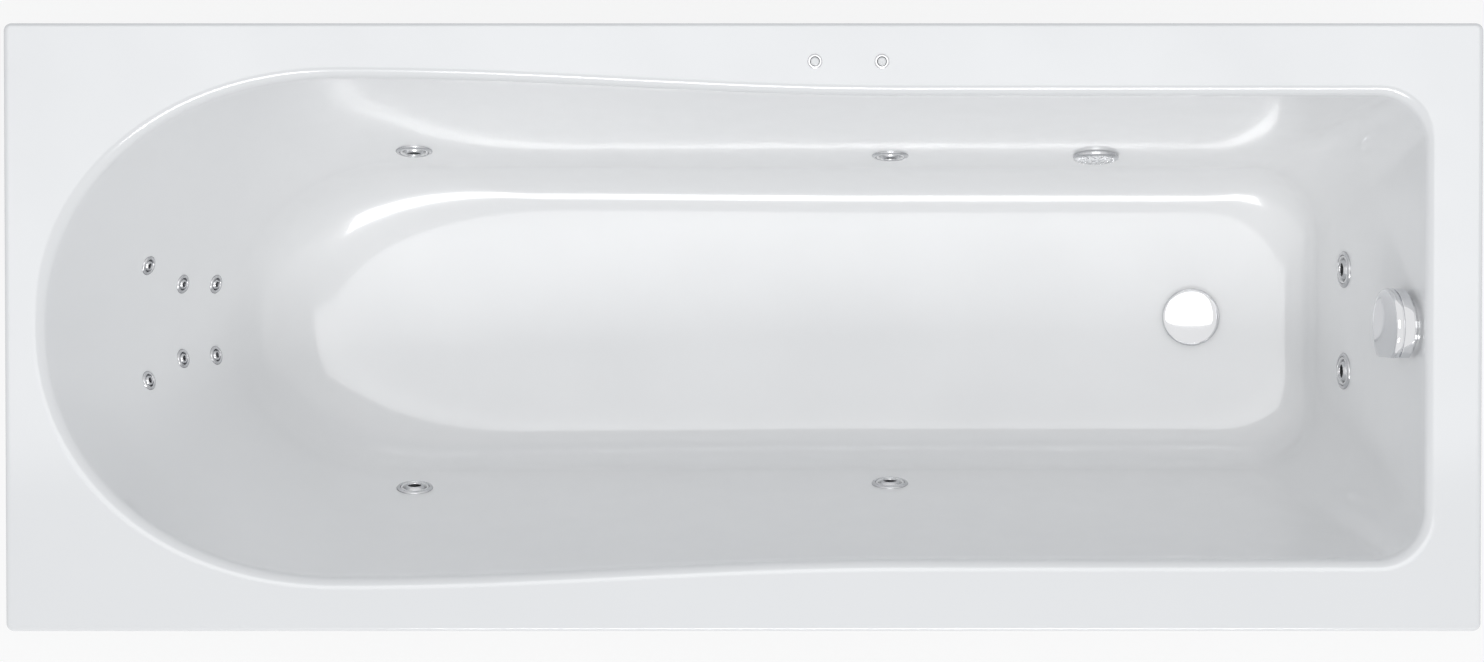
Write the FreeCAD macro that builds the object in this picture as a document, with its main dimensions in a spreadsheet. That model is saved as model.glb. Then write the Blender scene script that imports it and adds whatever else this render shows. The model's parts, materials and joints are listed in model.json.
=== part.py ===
import FreeCAD, Part
import math
import os

import Sketcher

# A jetted bathtub in millimetres.  +X points to the foot end, where the waste is, +Y to the side of
# the rim that carries the two push buttons, and +Z up.  The origin is on the ground under the
# middle of the rim.  Each wall fitting is drawn about its own axis, with its seat on the inner
# skin of the basin at z = 0 and +z pointing into the water, and is then carried to its place.

Vector = FreeCAD.Vector
UP = Vector(0, 0, 1)

SIZES = [
    # rim and basin
    ("tub_length", 1700, "rim, head end to foot end"),
    ("tub_width", 700, "rim, side to side"),
    ("rim_height", 600, "ground to the top of the rim"),
    ("basin_depth", 400, "top of the rim to the floor of the basin"),
    ("wall", 6, "acrylic with its glass fibre backing"),
    ("lip_drop", 38, "height of the turned-down edge of the rim"),
    ("rim_corner", 9, "corner radius of the rim in plan"),
    ("rim_round", 4, "round along the top outer edge of the rim"),
    ("edge_round", 10, "round where the rim turns down into the basin"),
    ("head_margin", 41.4, "rim edge to the opening at the head end"),
    ("foot_margin", 63, "rim edge to the opening at the foot end"),
    ("head_side_margin", 60, "rim edge to the opening where the basin is widest"),
    ("foot_side_margin", 81, "rim edge to the opening along the straight foot part"),
    ("head_run", 343.6, "length of the round head end of the opening"),
    ("taper_run", 655, "length over which the sides draw in"),
    ("foot_corner", 55, "corner radius of the opening at the foot end"),
    ("corner_growth", 35, "how much that radius grows down to the floor"),
    ("head_lean", 30, "backrest from the vertical, degrees"),
    ("side_lean_head", 16.3, "sides from the vertical at the widest part, degrees"),
    ("side_lean_foot", 13.5, "sides from the vertical along the foot part, degrees"),
    ("foot_lean", 13.5, "foot wall from the vertical, degrees"),
    ("head_fillet", 150, "backrest into the floor"),
    ("side_fillet", 60, "sides into the floor"),
    ("foot_fillet", 50, "foot wall into the floor"),
    ("widest_shift_wall", 75, "how far the round head end lengthens down the backrest"),
    ("widest_shift_floor", 190, "how much further it lengthens round the fillet"),
    # support
    ("board_thickness", 16, "board bonded under the floor"),
    ("board_half_width", 130, "board, middle to side"),
    ("board_head_end", 420, "rim edge at the head to the board"),
    ("board_foot_end", 230, "rim edge at the foot to the board"),
    ("tube_side", 25, "square steel tube of the frame"),
    ("tube_wall", 2, "its wall"),
    ("rail_spread", 200, "middle of the tub to the middle of a rail"),
    ("rail_head_end", 15, "rim edge at the head to the rails"),
    ("rail_foot_end", 60, "rim edge at the foot to the rails"),
    ("foot_inset", 166, "rim edge at the head to the first feet"),
    ("foot_outset", 105, "rim edge at the foot to the last feet"),
    ("foot_base_radius", 25, "levelling foot"),
    ("foot_base_height", 14, "levelling foot"),
    ("stud_radius", 6, "levelling stud"),
    ("stud_over", 12, "stud above the rail"),
    ("nut_height", 8, "lock nut"),
    ("nut_reach", 11, "lock nut, centre to corner"),
    ("cross_from_head", 450, "rim edge at the head to the first cross member"),
    ("cross_before_waste", 99, "last cross member to the waste"),
    ("middle_offset", 60, "middle cross member, rim supports and control box from the middle"),
    ("support_from_head", 370, "rim edge at the head to the first rim supports"),
    ("support_from_foot", 150, "rim edge at the foot to the last rim supports"),
    ("board_hole_gap", 8, "gap round the waste body in the board"),
    # water jets
    ("jet_depth", 295, "side jets below the rim"),
    ("jet_head_offset", 397, "head-side jets from the middle"),
    ("jet_foot_offset", 177, "foot-side jets from the middle"),
    ("foot_jet_depth", 270, "foot jets below the rim"),
    ("foot_jet_spread", 61, "foot jets from the centre line"),
    ("jet_face_radius", 22, "jet flange"),
    ("jet_face_height", 3, "jet flange"),
    ("jet_hole", 20.5, "hole in the wall for a jet"),
    ("jet_tube", 19.6, "threaded tube of a jet"),
    ("jet_tube_bore", 17.4, "bore that holds the bezel"),
    ("jet_tube_length", 26, "threaded tube of a jet"),
    ("jet_bezel_radius", 17, "turning bezel"),
    ("jet_ball_radius", 13.5, "swivelling eyeball"),
    ("jet_ball_depth", 5, "eyeball centre behind the wall face"),
    ("jet_nozzle", 7.5, "bore of the eyeball"),
    ("jet_body_radius", 24, "jet body behind the wall"),
    ("jet_body_reach", 62, "jet body behind the wall face"),
    ("jet_spigot_reach", 50, "pipe connections behind the wall face"),
    ("bezel_depth", 18, "turning bezel behind the wall face"),
    ("cup_rim", 2, "rim of a jet body beyond its side"),
    ("cup_rim_height", 5, "rim of a jet or suction body"),
    ("cup_gap", 0.4, "gap between a jet's tube and its body"),
    ("body_wall", 4, "end walls of the jet and suction bodies and walls of the pump casing"),
    ("seat_margin", 0.3, "flat seat beyond a fitting's flange"),
    ("gasket", 2, "thickness of every flat seal"),
    ("moving_gap", 0.3, "gap round a moving piece"),
    ("slip", 0.2, "gap between a pipe and its socket"),
    # back jets
    ("back_hole", 9.8, "hole in the backrest for a small jet"),
    ("back_face_radius", 11.5, "flange of a small jet"),
    ("back_face_height", 2, "flange of a small jet"),
    ("back_ball_radius", 7, "swivelling nozzle of a small jet"),
    ("back_ball_depth", 2.5, "its centre behind the wall face"),
    ("back_nozzle", 3, "its bore"),
    ("back_body_reach", 30, "body of a small jet behind the wall face"),
    # suction
    ("suction_depth", 295, "suction below the rim"),
    ("suction_from_foot", 362, "suction from the foot end of the opening"),
    ("suction_hole", 24.5, "hole in the wall for the suction"),
    ("suction_cover_radius", 27.5, "suction cover"),
    ("suction_cover_height", 6, "suction cover"),
    ("suction_body_radius", 29, "suction body behind the wall"),
    ("suction_body_reach", 56, "suction body behind the wall face"),
    ("suction_spigot_reach", 34, "hose connection behind the wall face"),
    ("suction_rim", 4, "rim of the suction body beyond its side"),
    ("suction_wall", 2.5, "wall of the suction body's tube"),
    # pipes
    ("water_pipe", 16, "pressure pipe outside radius"),
    ("water_bore", 13.5, "pressure pipe bore radius"),
    ("water_level", 215, "pressure pipe above the ground"),
    ("air_pipe", 10, "air pipe outside radius"),
    ("air_bore", 8.5, "air pipe bore radius"),
    ("air_level", 385, "air pipe above the ground"),
    ("spigot", 8, "water connection of a jet, radius"),
    ("air_spigot", 5, "air connection of a jet, radius"),
    ("suction_hose", 22, "suction hose outside radius"),
    ("suction_bore", 20, "suction hose bore radius"),
    ("head_crossing", 250, "rim edge at the head to the crossing pipe"),
    ("micro_hose", 6, "hose of a small jet, radius"),
    ("micro_bore", 4.4, "its bore radius"),
    ("socket_height", 14, "sockets that stand on the pressure pipe"),
    ("socket_wall", 3, "their wall"),
    ("air_socket_wall", 2, "wall of the sockets on the air pipe"),
    ("outlet_socket", 22, "socket of the pressure pipe over the pump outlet"),
    ("branch_step", 0.6, "how much slimmer the branch from the pump is than the ring"),
    ("bore_step", 0.8, "how much narrower its bore is"),
    ("header_from_head", 62, "rim edge at the head to the header of the small jets"),
    ("header_over_pump", 106, "header above the pump shaft"),
    ("header_half", 84, "header, middle to end"),
    ("header_radius", 14, "header"),
    ("header_wall", 2.5, "wall of the header"),
    ("hose_grip", 11, "nipple inside a small hose"),
    ("back_feed", 104, "feed of the header from the centre line"),
    # pump and blower
    ("pump_from_head", 85, "rim edge at the head to the pump shaft"),
    ("pump_level", 246, "pump shaft above the ground"),
    ("motor_radius", 58, "motor casing"),
    ("volute_radius", 64, "pump casing"),
    ("volute_length", 56, "pump casing along the shaft"),
    ("volute_start", 140, "pump casing from the centre line"),
    ("motor_length", 258, "motor casing along the shaft"),
    ("fan_cover_length", 58, "fan cover along the shaft"),
    ("shaft_radius", 7, "pump shaft"),
    ("impeller_radius", 48, "impeller disc"),
    ("blade_length", 34, "impeller blade"),
    ("blade_thickness", 3, "impeller blade"),
    ("blade_height", 16, "impeller blade"),
    ("blade_start", 12, "impeller blade from the shaft's axis"),
    ("shelf_thickness", 3, "pump shelf"),
    ("shelf_reach", 50, "pump shelf beyond the pump shaft"),
    ("blower_radius", 48, "air blower"),
    ("blower_height", 104, "air blower"),
    # waste, overflow and trap
    ("waste_from_foot", 238, "waste from the foot end of the opening"),
    ("waste_hole", 27, "hole in the floor"),
    ("flange_radius", 33, "waste flange"),
    ("flange_neck", 25.5, "neck of the waste flange"),
    ("flange_bore", 22, "bore of the waste flange"),
    ("neck_gap", 0.7, "gap between that neck and the waste body"),
    ("tail_length", 26, "tail of the waste body"),
    ("plug_radius", 35, "plug disc"),
    ("plug_height", 4, "plug disc"),
    ("plug_rise", 9, "travel of the plug"),
    ("stem_radius", 4, "plug stem"),
    ("stem_reach", 43, "plug stem below the floor when the plug is up"),
    ("waste_cup_radius", 38, "waste body"),
    ("waste_cup_depth", 70, "waste body below the floor face"),
    ("waste_outlet", 22, "waste outlet and trap pipe, radius"),
    ("pipe_wall", 3, "wall of the waste pipes"),
    ("inlet_drop", 44, "overflow inlet below the floor face"),
    ("overflow_depth", 62, "overflow below the rim"),
    ("overflow_hole", 24, "hole in the foot wall"),
    ("overflow_reach", 54, "overflow body behind the wall face"),
    ("overflow_spigot", 38, "overflow spigot behind the wall face"),
    ("overflow_rim", 34, "rim of the overflow body"),
    ("overflow_side", 30, "overflow body"),
    ("overflow_bore", 26, "inside of the overflow body"),
    ("overflow_hose", 16, "overflow hose outside radius"),
    ("hose_spigot", 14, "spigots that the overflow hose fits over"),
    ("knob_radius", 44, "overflow knob"),
    ("knob_front", 29, "knob front face from the wall"),
    ("knob_back", 7, "knob back edge from the wall"),
    ("knob_flat", 36, "knob axis to the flat on its rim"),
    ("neck_radius", 34.5, "fixed neck behind the knob"),
    ("spindle_radius", 6, "knob spindle"),
    ("running_gap", 0.05, "radial gap of a shaft or stem in its bush"),
    ("cable_radius", 3, "control cable between overflow and waste"),
    ("cable_offset", 24, "control cable beside the hose"),
    ("trap_bend", 34, "bend radius of the trap"),
    ("trap_outlet", 20, "end of the trap, radius"),
    # push buttons and control box
    ("button_first", 82, "first button from the middle"),
    ("button_second", 159, "second button from the middle"),
    ("button_margin", 44, "rim edge to the buttons"),
    ("button_hole", 7.6, "hole in the rim for a button"),
    ("button_face", 8.5, "button flange"),
    ("button_cap", 4.9, "moving cap"),
    ("button_bore", 5.5, "bore round the cap"),
    ("button_height", 1.5, "button flange above the rim"),
    ("button_depth", 42, "button body below the rim"),
    ("box_length", 160, "control box"),
    ("box_width", 50, "control box"),
    ("box_height", 80, "control box"),
    ("box_level", 290, "control box above the ground"),
    ("air_tube", 3, "thin tube from a button, radius"),
    ("seat_after_first", 10, "first tube's seat on the box beyond its button"),
    ("seat_before_second", 35, "second tube's seat on the box before its button"),
    ("gland_height", 26, "cable gland above the bottom of the control box"),
    ("gland_bore", 4.5, "bore of the cable gland"),
]

HEAD_SQUARENESS = 2.1     # exponent of the round head end: 2 is an ellipse
HEAD_STEPS = 24           # points that set out half of the round head end
STRAIGHT_STEPS = 6        # points that set out one straight side
SIDE_STEPS = 12           # points that set out one tapering side
ROLL_STEPS = 5            # outlines that set out the round between rim and basin
BEND_STEPS = 10           # outlines that set out the round into the floor
SEAT_GAP = -0.05          # a flat seat is cut from this far behind a fitting's own plane
BLADES = 6                # blades of the impeller
FINS = 20                 # cooling fins of the motor
VENTS = 12                # slots in the fan cover

doc = FreeCAD.newDocument("JettedBathtub")
sheet = doc.addObject("Spreadsheet::Sheet", "Sizes")


class Size:
    """A length, with its value and the sheet expression that gives it."""

    def __init__(self, value, text):
        self.value = float(value)
        self.text = text

    def __add__(self, other):
        other = as_size(other)
        return Size(self.value + other.value, f"({self.text} + {other.text})")

    def __sub__(self, other):
        other = as_size(other)
        return Size(self.value - other.value, f"({self.text} - {other.text})")

    def __mul__(self, factor):
        return Size(self.value * factor, f"({self.text} * {factor})")

    def __truediv__(self, factor):
        return Size(self.value / factor, f"({self.text} / {factor})")

    def __neg__(self):
        return Size(-self.value, f"(-{self.text})")

    __radd__ = __add__
    __rmul__ = __mul__


def as_size(item):
    """A plain number as a Size."""
    return item if isinstance(item, Size) else Size(item, repr(float(item)))


class SizeTable:
    """The driving sizes by name."""


S = SizeTable()
for row, (alias, number, meaning) in enumerate(SIZES, start=1):
    sheet.set(f"A{row}", alias)
    sheet.set(f"B{row}", str(number))
    sheet.set(f"C{row}", meaning)
    sheet.setAlias(f"B{row}", alias)
    setattr(S, alias, Size(number, f"Sizes.{alias}"))
doc.recompute()

nodes = {}
seals = []          # flat rubber rings under the fittings, all in one sub-part
ring_nuts = []      # plastic ring nuts behind the small fittings


# ---------------------------------------------------------------- ways of making a piece

def node(obj):
    """Keep an object as a sub-part of the tub, under its own label."""
    nodes[obj.Label] = obj
    return obj


def bind(obj, prop, size):
    obj.setExpression(prop, as_size(size).text)


def sized_box(label, extent, place):
    """A box of three sizes from the origin of its placement."""
    obj = doc.addObject("Part::Box", label)
    for prop, size in zip(("Length", "Width", "Height"), extent):
        bind(obj, prop, size)
    obj.Placement = place
    return obj


def block(label, corner, extent):
    """A box from its lowest corner."""
    obj = sized_box(label, extent, FreeCAD.Placement())
    for axis, size in zip("xyz", corner):
        bind(obj, f"Placement.Base.{axis}", size)
    return obj


def rod(label, radius, length, place):
    """A cylinder along the +z of its placement."""
    obj = doc.addObject("Part::Cylinder", label)
    bind(obj, "Radius", radius)
    bind(obj, "Height", length)
    obj.Placement = place
    return obj


def cut(label, base, tool):
    obj = doc.addObject("Part::Cut", label)
    obj.Base = base
    obj.Tool = tool
    return obj


def fuse(label, parts):
    obj = doc.addObject("Part::MultiFuse", label)
    obj.Shapes = parts
    return obj


def gather(label, parts):
    """Several separate solids under one label."""
    obj = doc.addObject("Part::Compound", label)
    obj.Links = parts
    return obj


def shaped(label, shape):
    """A piece whose shape comes from a formula or a route."""
    obj = doc.addObject("Part::Feature", label)
    obj.Shape = shape
    return obj


def copies(label, pattern, places):
    """The same piece at several places, as separate solids."""
    doc.recompute()
    return shaped(label, Part.makeCompound([placed(pattern.Shape, place) for place in places]))


def placed(shape, place):
    moved = shape.copy()
    moved.Placement = place.multiply(shape.Placement)
    return moved


def turned(label, profile, place=FreeCAD.Placement()):
    """A body revolved about z from (radius, height) points."""
    body = doc.addObject("PartDesign::Body", label)
    plane = [item for item in body.Origin.OriginFeatures if item.Role == "XZ_Plane"][0]
    sketch = body.newObject("Sketcher::SketchObject", f"{label}_profile")
    sketch.AttachmentSupport = [(plane, "")]
    sketch.MapMode = "FlatFace"
    points = [(as_size(radius), as_size(height)) for radius, height in profile]
    count = len(points)
    for index in range(count):
        start = points[index]
        end = points[(index + 1) % count]
        sketch.addGeometry(Part.LineSegment(Vector(start[0].value, start[1].value, 0),
                                            Vector(end[0].value, end[1].value, 0)), False)
    for index in range(count):
        sketch.addConstraint(Sketcher.Constraint("Coincident", index, 2, (index + 1) % count, 1))
    for index, point in enumerate(points):
        for kind, size in zip(("DistanceX", "DistanceY"), point):
            number = sketch.addConstraint(
                Sketcher.Constraint(kind, -1, 1, index, 1, size.value))
            sketch.setExpression(f"Constraints[{number}]", size.text)
    revolution = body.newObject("PartDesign::Revolution", f"{label}_turn")
    revolution.Profile = sketch
    revolution.ReferenceAxis = (sketch, ["V_Axis"])
    revolution.Angle = 360
    body.Placement = place
    return body


def rounded(label, base, radius, chosen):
    """A fillet along the edges that the test chooses."""
    doc.recompute()
    obj = doc.addObject("Part::Fillet", label)
    obj.Base = base
    value = as_size(radius).value
    obj.Edges = [(index, value, value) for index, edge in enumerate(base.Shape.Edges, start=1)
                 if chosen(edge)]
    return obj


def at(x, y, z, direction=UP):
    """A placement whose z axis points along the direction."""
    turn = FreeCAD.Rotation(UP, direction)
    return FreeCAD.Placement(Vector(x, y, z), turn)


def route(points, bends):
    """Straight runs joined by tangent arcs: one bend radius per inner point."""
    edges = []
    start = points[0]
    for before, corner, after, bend in zip(points, points[1:], points[2:], bends):
        arrive = (corner - before).normalize()
        leave = (after - corner).normalize()
        turn = arrive.getAngle(leave)
        trim = bend * math.tan(turn / 2)
        first = corner - arrive * trim
        last = corner + leave * trim
        inward = (leave - arrive).normalize()
        centre = corner + inward * (bend / math.cos(turn / 2))
        middle = centre - inward * bend
        edges.append(Part.LineSegment(start, first).toShape())
        edges.append(Part.Arc(first, middle, last).toShape())
        start = last
    edges.append(Part.LineSegment(start, points[-1]).toShape())
    return Part.Wire(edges)


def solid_pipe(points, bends, radius):
    """A solid round bar along a route."""
    line = route(points, bends)
    ring = Part.makeCircle(radius, points[0], points[1] - points[0])
    return line.makePipeShell([Part.Wire(ring)], True, False)


def pipe(points, bends, radius, bore):
    """A tube along a route, open at both ends."""
    return solid_pipe(points, bends, radius).cut(solid_pipe(points, bends, bore))


def bar_between(start, end, radius):
    return Part.makeCylinder(radius, (end - start).Length, start, end - start)


# ---------------------------------------------------------------- the form of the basin

x_head = -S.tub_length / 2 + S.head_margin
x_foot = S.tub_length / 2 - S.foot_margin
x_widest = x_head + S.head_run
x_straight = x_widest + S.taper_run
half_head = S.tub_width / 2 - S.head_side_margin
half_foot = S.tub_width / 2 - S.foot_side_margin
z_floor = S.rim_height - S.basin_depth
z_under = z_floor - S.wall


def inset(depth, lean, fillet, grow):
    """How far a wall has come in at a depth: a straight lean, then an arc into the floor.

    grow moves the wall outwards by that much along its normal, for the outer skin.
    """
    angle = math.radians(lean.value)
    level = S.basin_depth.value - fillet.value
    centre = (fillet.value + level * math.sin(angle)) / math.cos(angle)
    radius = fillet.value + grow
    if depth <= level + radius * math.sin(angle):
        return depth * math.tan(angle) - grow / math.cos(angle)
    return centre - math.sqrt(max(radius ** 2 - (depth - level) ** 2, 0))


def lip(depth):
    """The round between the rim and the basin, as an outward step near the top."""
    radius = S.edge_round.value
    if depth >= radius:
        return 0.0
    across = 1 - max(depth, 0) / radius
    return radius * (1 - math.sqrt(1 - across ** 2))


class Outline:
    """The basin's plan at one depth below the rim."""

    def __init__(self, depth, grow=0.0):
        step = -lip(depth) if grow == 0 else 0.0
        below = max(depth, 0)
        deepest = S.basin_depth.value + grow
        bend_start = S.basin_depth.value - S.head_fillet.value * (
            1 - math.sin(math.radians(S.head_lean.value)))
        self.head = x_head.value + inset(below, S.head_lean, S.head_fillet, grow) + step
        self.foot = x_foot.value - inset(below, S.foot_lean, S.foot_fillet, grow) - step
        self.wide = half_head.value - inset(below, S.side_lean_head, S.side_fillet, grow) - step
        self.narrow = half_foot.value - inset(below, S.side_lean_foot, S.side_fillet, grow) - step
        fall = min(below / bend_start, 1)
        turn = max(min((below - bend_start) / (deepest - bend_start), 1), 0)
        self.widest = (x_widest.value + S.widest_shift_wall.value * fall
                       + S.widest_shift_floor.value * (1 - math.sqrt(1 - turn ** 2)))
        self.straight = x_straight.value
        self.corner = (S.foot_corner.value - step
                       + S.corner_growth.value * min(below / S.basin_depth.value, 1))
        self.z = S.rim_height.value - depth

    def half_width(self, x):
        """Half the basin's width at an x between the head end and the foot corners."""
        if x >= self.straight:
            return self.narrow
        if x >= self.widest:
            share = (x - self.widest) / (self.straight - self.widest)
            return self.narrow + (self.wide - self.narrow) * (1 + math.cos(math.pi * share)) / 2
        share = min((self.widest - x) / (self.widest - self.head), 1)
        return self.wide * (1 - share ** HEAD_SQUARENESS) ** (1 / HEAD_SQUARENESS)

    def head_x(self, y):
        """The x of the round head end at a y."""
        share = abs(y) / self.wide
        reach = (1 - share ** HEAD_SQUARENESS) ** (1 / HEAD_SQUARENESS)
        return self.widest - (self.widest - self.head) * reach

    def wire(self):
        """The closed outline: foot line, corner, one curve round the head end, corner."""
        corner = self.foot - self.corner
        slant = self.corner * (1 - math.sqrt(0.5))
        side = [Vector(x, self.narrow, self.z)
                for x in spaced(corner, self.straight, STRAIGHT_STEPS)]
        side += [Vector(x, self.half_width(x), self.z)
                 for x in spaced(self.straight, self.widest, SIDE_STEPS)[1:]]
        side += [self.head_point(math.pi / 2 * index / HEAD_STEPS)
                 for index in range(HEAD_STEPS - 1, -1, -1)]
        loop = side + [Vector(point.x, -point.y, point.z) for point in side[-2::-1]]
        foot = Vector(self.foot, self.narrow - self.corner, self.z)
        turn = Vector(self.foot - slant, self.narrow - slant, self.z)
        bend = Part.Arc(foot, turn, side[0]).toShape()
        curve = Part.BSplineCurve()
        curve.interpolate(loop)
        across = Part.LineSegment(Vector(foot.x, -foot.y, self.z), foot).toShape()
        return Part.Wire([across, bend, curve.toShape(), mirrored(bend)])

    def head_point(self, angle):
        """A point of the round head end: 0 at its tip, a quarter turn at the widest part."""
        power = 2 / HEAD_SQUARENESS
        along = (self.widest - self.head) * math.cos(angle) ** power if angle < math.pi / 2 else 0
        return Vector(self.widest - along, self.wide * math.sin(angle) ** power, self.z)


def spaced(start, end, count):
    return [start + (end - start) * index / count for index in range(count + 1)]


def mirrored(edge):
    """The same edge on the other side of the tub, run the other way."""
    return edge.mirror(Vector(0, 0, 0), Vector(0, 1, 0))


def wall_place(side, along, depth, z=0.0):
    """A fitting's place on the inner skin.

    side is +y, -y, head or foot.  along is x on a side and y at an end.  z moves the place
    along the wall's normal, which points into the basin.
    """
    small = 1.0

    def point(run, fall):
        line = Outline(fall)
        level = S.rim_height.value - fall
        if side == "head":
            return Vector(line.head_x(run), run, level)
        if side == "foot":
            return Vector(line.foot, run, level)
        return Vector(run, line.half_width(run) * (1 if side == "+y" else -1), level)

    here = point(along, depth)
    across = point(along + small, depth) - point(along - small, depth)
    down = point(along, depth + small) - point(along, depth - small)
    normal = across.cross(down).normalize()
    if normal.z < 0:
        normal = -normal
    level = (UP - normal * normal.z).normalize()
    turn = FreeCAD.Rotation(level.cross(normal), level, normal, "ZXY")
    return FreeCAD.Placement(here + normal * z, turn)


jet_places = [wall_place(side, x, S.jet_depth.value)
              for side in ("+y", "-y")
              for x in (-S.jet_head_offset.value, S.jet_foot_offset.value)]
jet_places += [wall_place("foot", y, S.foot_jet_depth.value)
               for y in (S.foot_jet_spread.value, -S.foot_jet_spread.value)]
JET_NAMES = ["jet_head_plus", "jet_mid_plus", "jet_head_minus", "jet_mid_minus",
             "jet_foot_plus", "jet_foot_minus"]

BACK_ROWS = [(166.0, 68.0), (233.0, 44.5), (291.0, 43.0)]    # depth below the rim, y
back_places = [wall_place("head", y * sign, depth) for depth, y in BACK_ROWS for sign in (1, -1)]
BACK_NAMES = [f"back_jet_{row}_{side}" for row in ("upper", "middle", "lower")
              for side in ("plus", "minus")]

suction_x = x_foot - S.suction_from_foot
suction_place = wall_place("+y", suction_x.value, S.suction_depth.value)
overflow_place = wall_place("foot", 0.0, S.overflow_depth.value)
waste_x = x_foot - S.waste_from_foot
waste_place = at(waste_x.value, 0, z_floor.value)
button_y = S.tub_width / 2 - S.button_margin
button_places = [at(x.value, button_y.value, S.rim_height.value)
                 for x in (S.button_first, S.button_second)]


# ---------------------------------------------------------------- shell

def basin_depths(first, last):
    """Depths at which the outline is set out: close together where the walls curve."""
    bend = S.basin_depth.value - S.head_fillet.value * (
        1 - math.sin(math.radians(S.head_lean.value)))
    round_off = [bend + (last - bend) * math.sin(math.pi / 2 * index / BEND_STEPS)
                 for index in range(BEND_STEPS + 1)]
    return [first] + round_off


def make_shell():
    rim = block("rim_block", (-S.tub_length / 2, -S.tub_width / 2, S.rim_height - S.lip_drop),
                (S.tub_length, S.tub_width, S.lip_drop))
    upright = rounded("rim_corners", rim, S.rim_corner, is_upright)
    top = rounded("rim_edges", upright, S.rim_round,
                  lambda edge: edge.BoundBox.ZMin > S.rim_height.value - 0.01)
    under = block("rim_hollow",
                  (S.wall - S.tub_length / 2, S.wall - S.tub_width / 2, S.rim_height - S.lip_drop),
                  (S.tub_length - S.wall * 2, S.tub_width - S.wall * 2, S.lip_drop - S.wall))
    tray = cut("rim_tray", top, under)
    grow = S.wall.value
    outer = [Outline(depth, grow).wire()
             for depth in basin_depths(S.wall.value / 2, S.basin_depth.value + grow)]
    bowl = shaped("basin_outside", Part.makeLoft(outer, True, True))
    radius = S.edge_round.value
    rolls = [radius * (1 - math.cos(math.pi / 2 * index / ROLL_STEPS))
             for index in range(ROLL_STEPS + 1)]
    inner = [Outline(-1.0).wire()]
    inner += [Outline(depth).wire() for depth in rolls]
    inner += [Outline(depth).wire() for depth in basin_depths(radius, S.basin_depth.value)[1:]]
    hollow = shaped("basin_inside", Part.makeLoft(inner, True, True))
    body = cut("basin", fuse("rim_and_basin", [tray, bowl]), hollow)
    doc.recompute()
    shape = body.Shape.Solids[0]
    for place, hole, seat in fitting_holes():
        through = Part.makeCylinder(hole.value, S.wall.value * 5, Vector(0, 0, -S.wall.value * 4))
        flat = Part.makeCylinder(seat.value, S.wall.value * 2, Vector(0, 0, SEAT_GAP))
        shape = shape.cut(placed(through.fuse(flat), place))
    return node(shaped("acrylic_shell", shape.Solids[0]))


def is_upright(edge):
    ends = [vertex.Point for vertex in edge.Vertexes]
    return len(ends) == 2 and (ends[0] - ends[1]).getAngle(UP) in (0.0, math.pi)


def fitting_holes():
    """Every fitting's place, its hole and the flat seat round it."""
    found = [(place, S.jet_hole, S.jet_face_radius + S.seat_margin) for place in jet_places]
    found += [(place, S.back_hole, S.back_face_radius + S.seat_margin) for place in back_places]
    found.append((suction_place, S.suction_hole, S.suction_cover_radius + S.seat_margin))
    found.append((overflow_place, S.overflow_hole, S.neck_radius + S.seat_margin))
    found.append((waste_place, S.waste_hole, S.plug_radius + S.seat_margin))
    found += [(place, S.button_hole, S.button_face + S.seat_margin) for place in button_places]
    return found


# ---------------------------------------------------------------- board, frame and feet

board_top = z_under
frame_top = board_top - S.board_thickness
frame_base = frame_top - S.tube_side
x_rail_head = -S.tub_length / 2 + S.rail_head_end
x_rail_foot = S.tub_length / 2 - S.rail_foot_end
cross_places = [-S.tub_length / 2 + S.cross_from_head, S.middle_offset,
                waste_x - S.cross_before_waste]
support_places = [-S.tub_length / 2 + S.support_from_head, S.middle_offset,
                  S.tub_length / 2 - S.support_from_foot]
stud_places = [(x, S.rail_spread * sign)
               for x in (-S.tub_length / 2 + S.foot_inset, as_size(0),
                         S.tub_length / 2 - S.foot_outset)
               for sign in (1, -1)]


def make_board():
    length = S.tub_length - S.board_head_end - S.board_foot_end
    plate = block("board_blank", (-S.tub_length / 2 + S.board_head_end, -S.board_half_width,
                                  frame_top),
                  (length, S.board_half_width * 2, S.board_thickness))
    hole = rod("board_hole", S.waste_cup_radius + S.board_hole_gap, S.board_thickness + 2,
               at(waste_x.value, 0, frame_top.value - 1))
    return node(cut("base_board", plate, hole))


def square_tube(label, corner, extent, along):
    """A length of square tube, hollow along one axis."""
    outside = block(f"{label}_outside", corner, extent)
    start = [size if axis == along else size + S.tube_wall for axis, size in zip("xyz", corner)]
    reach = [size if axis == along else size - S.tube_wall * 2
             for axis, size in zip("xyz", extent)]
    return cut(label, outside, block(f"{label}_inside", start, reach))


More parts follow.
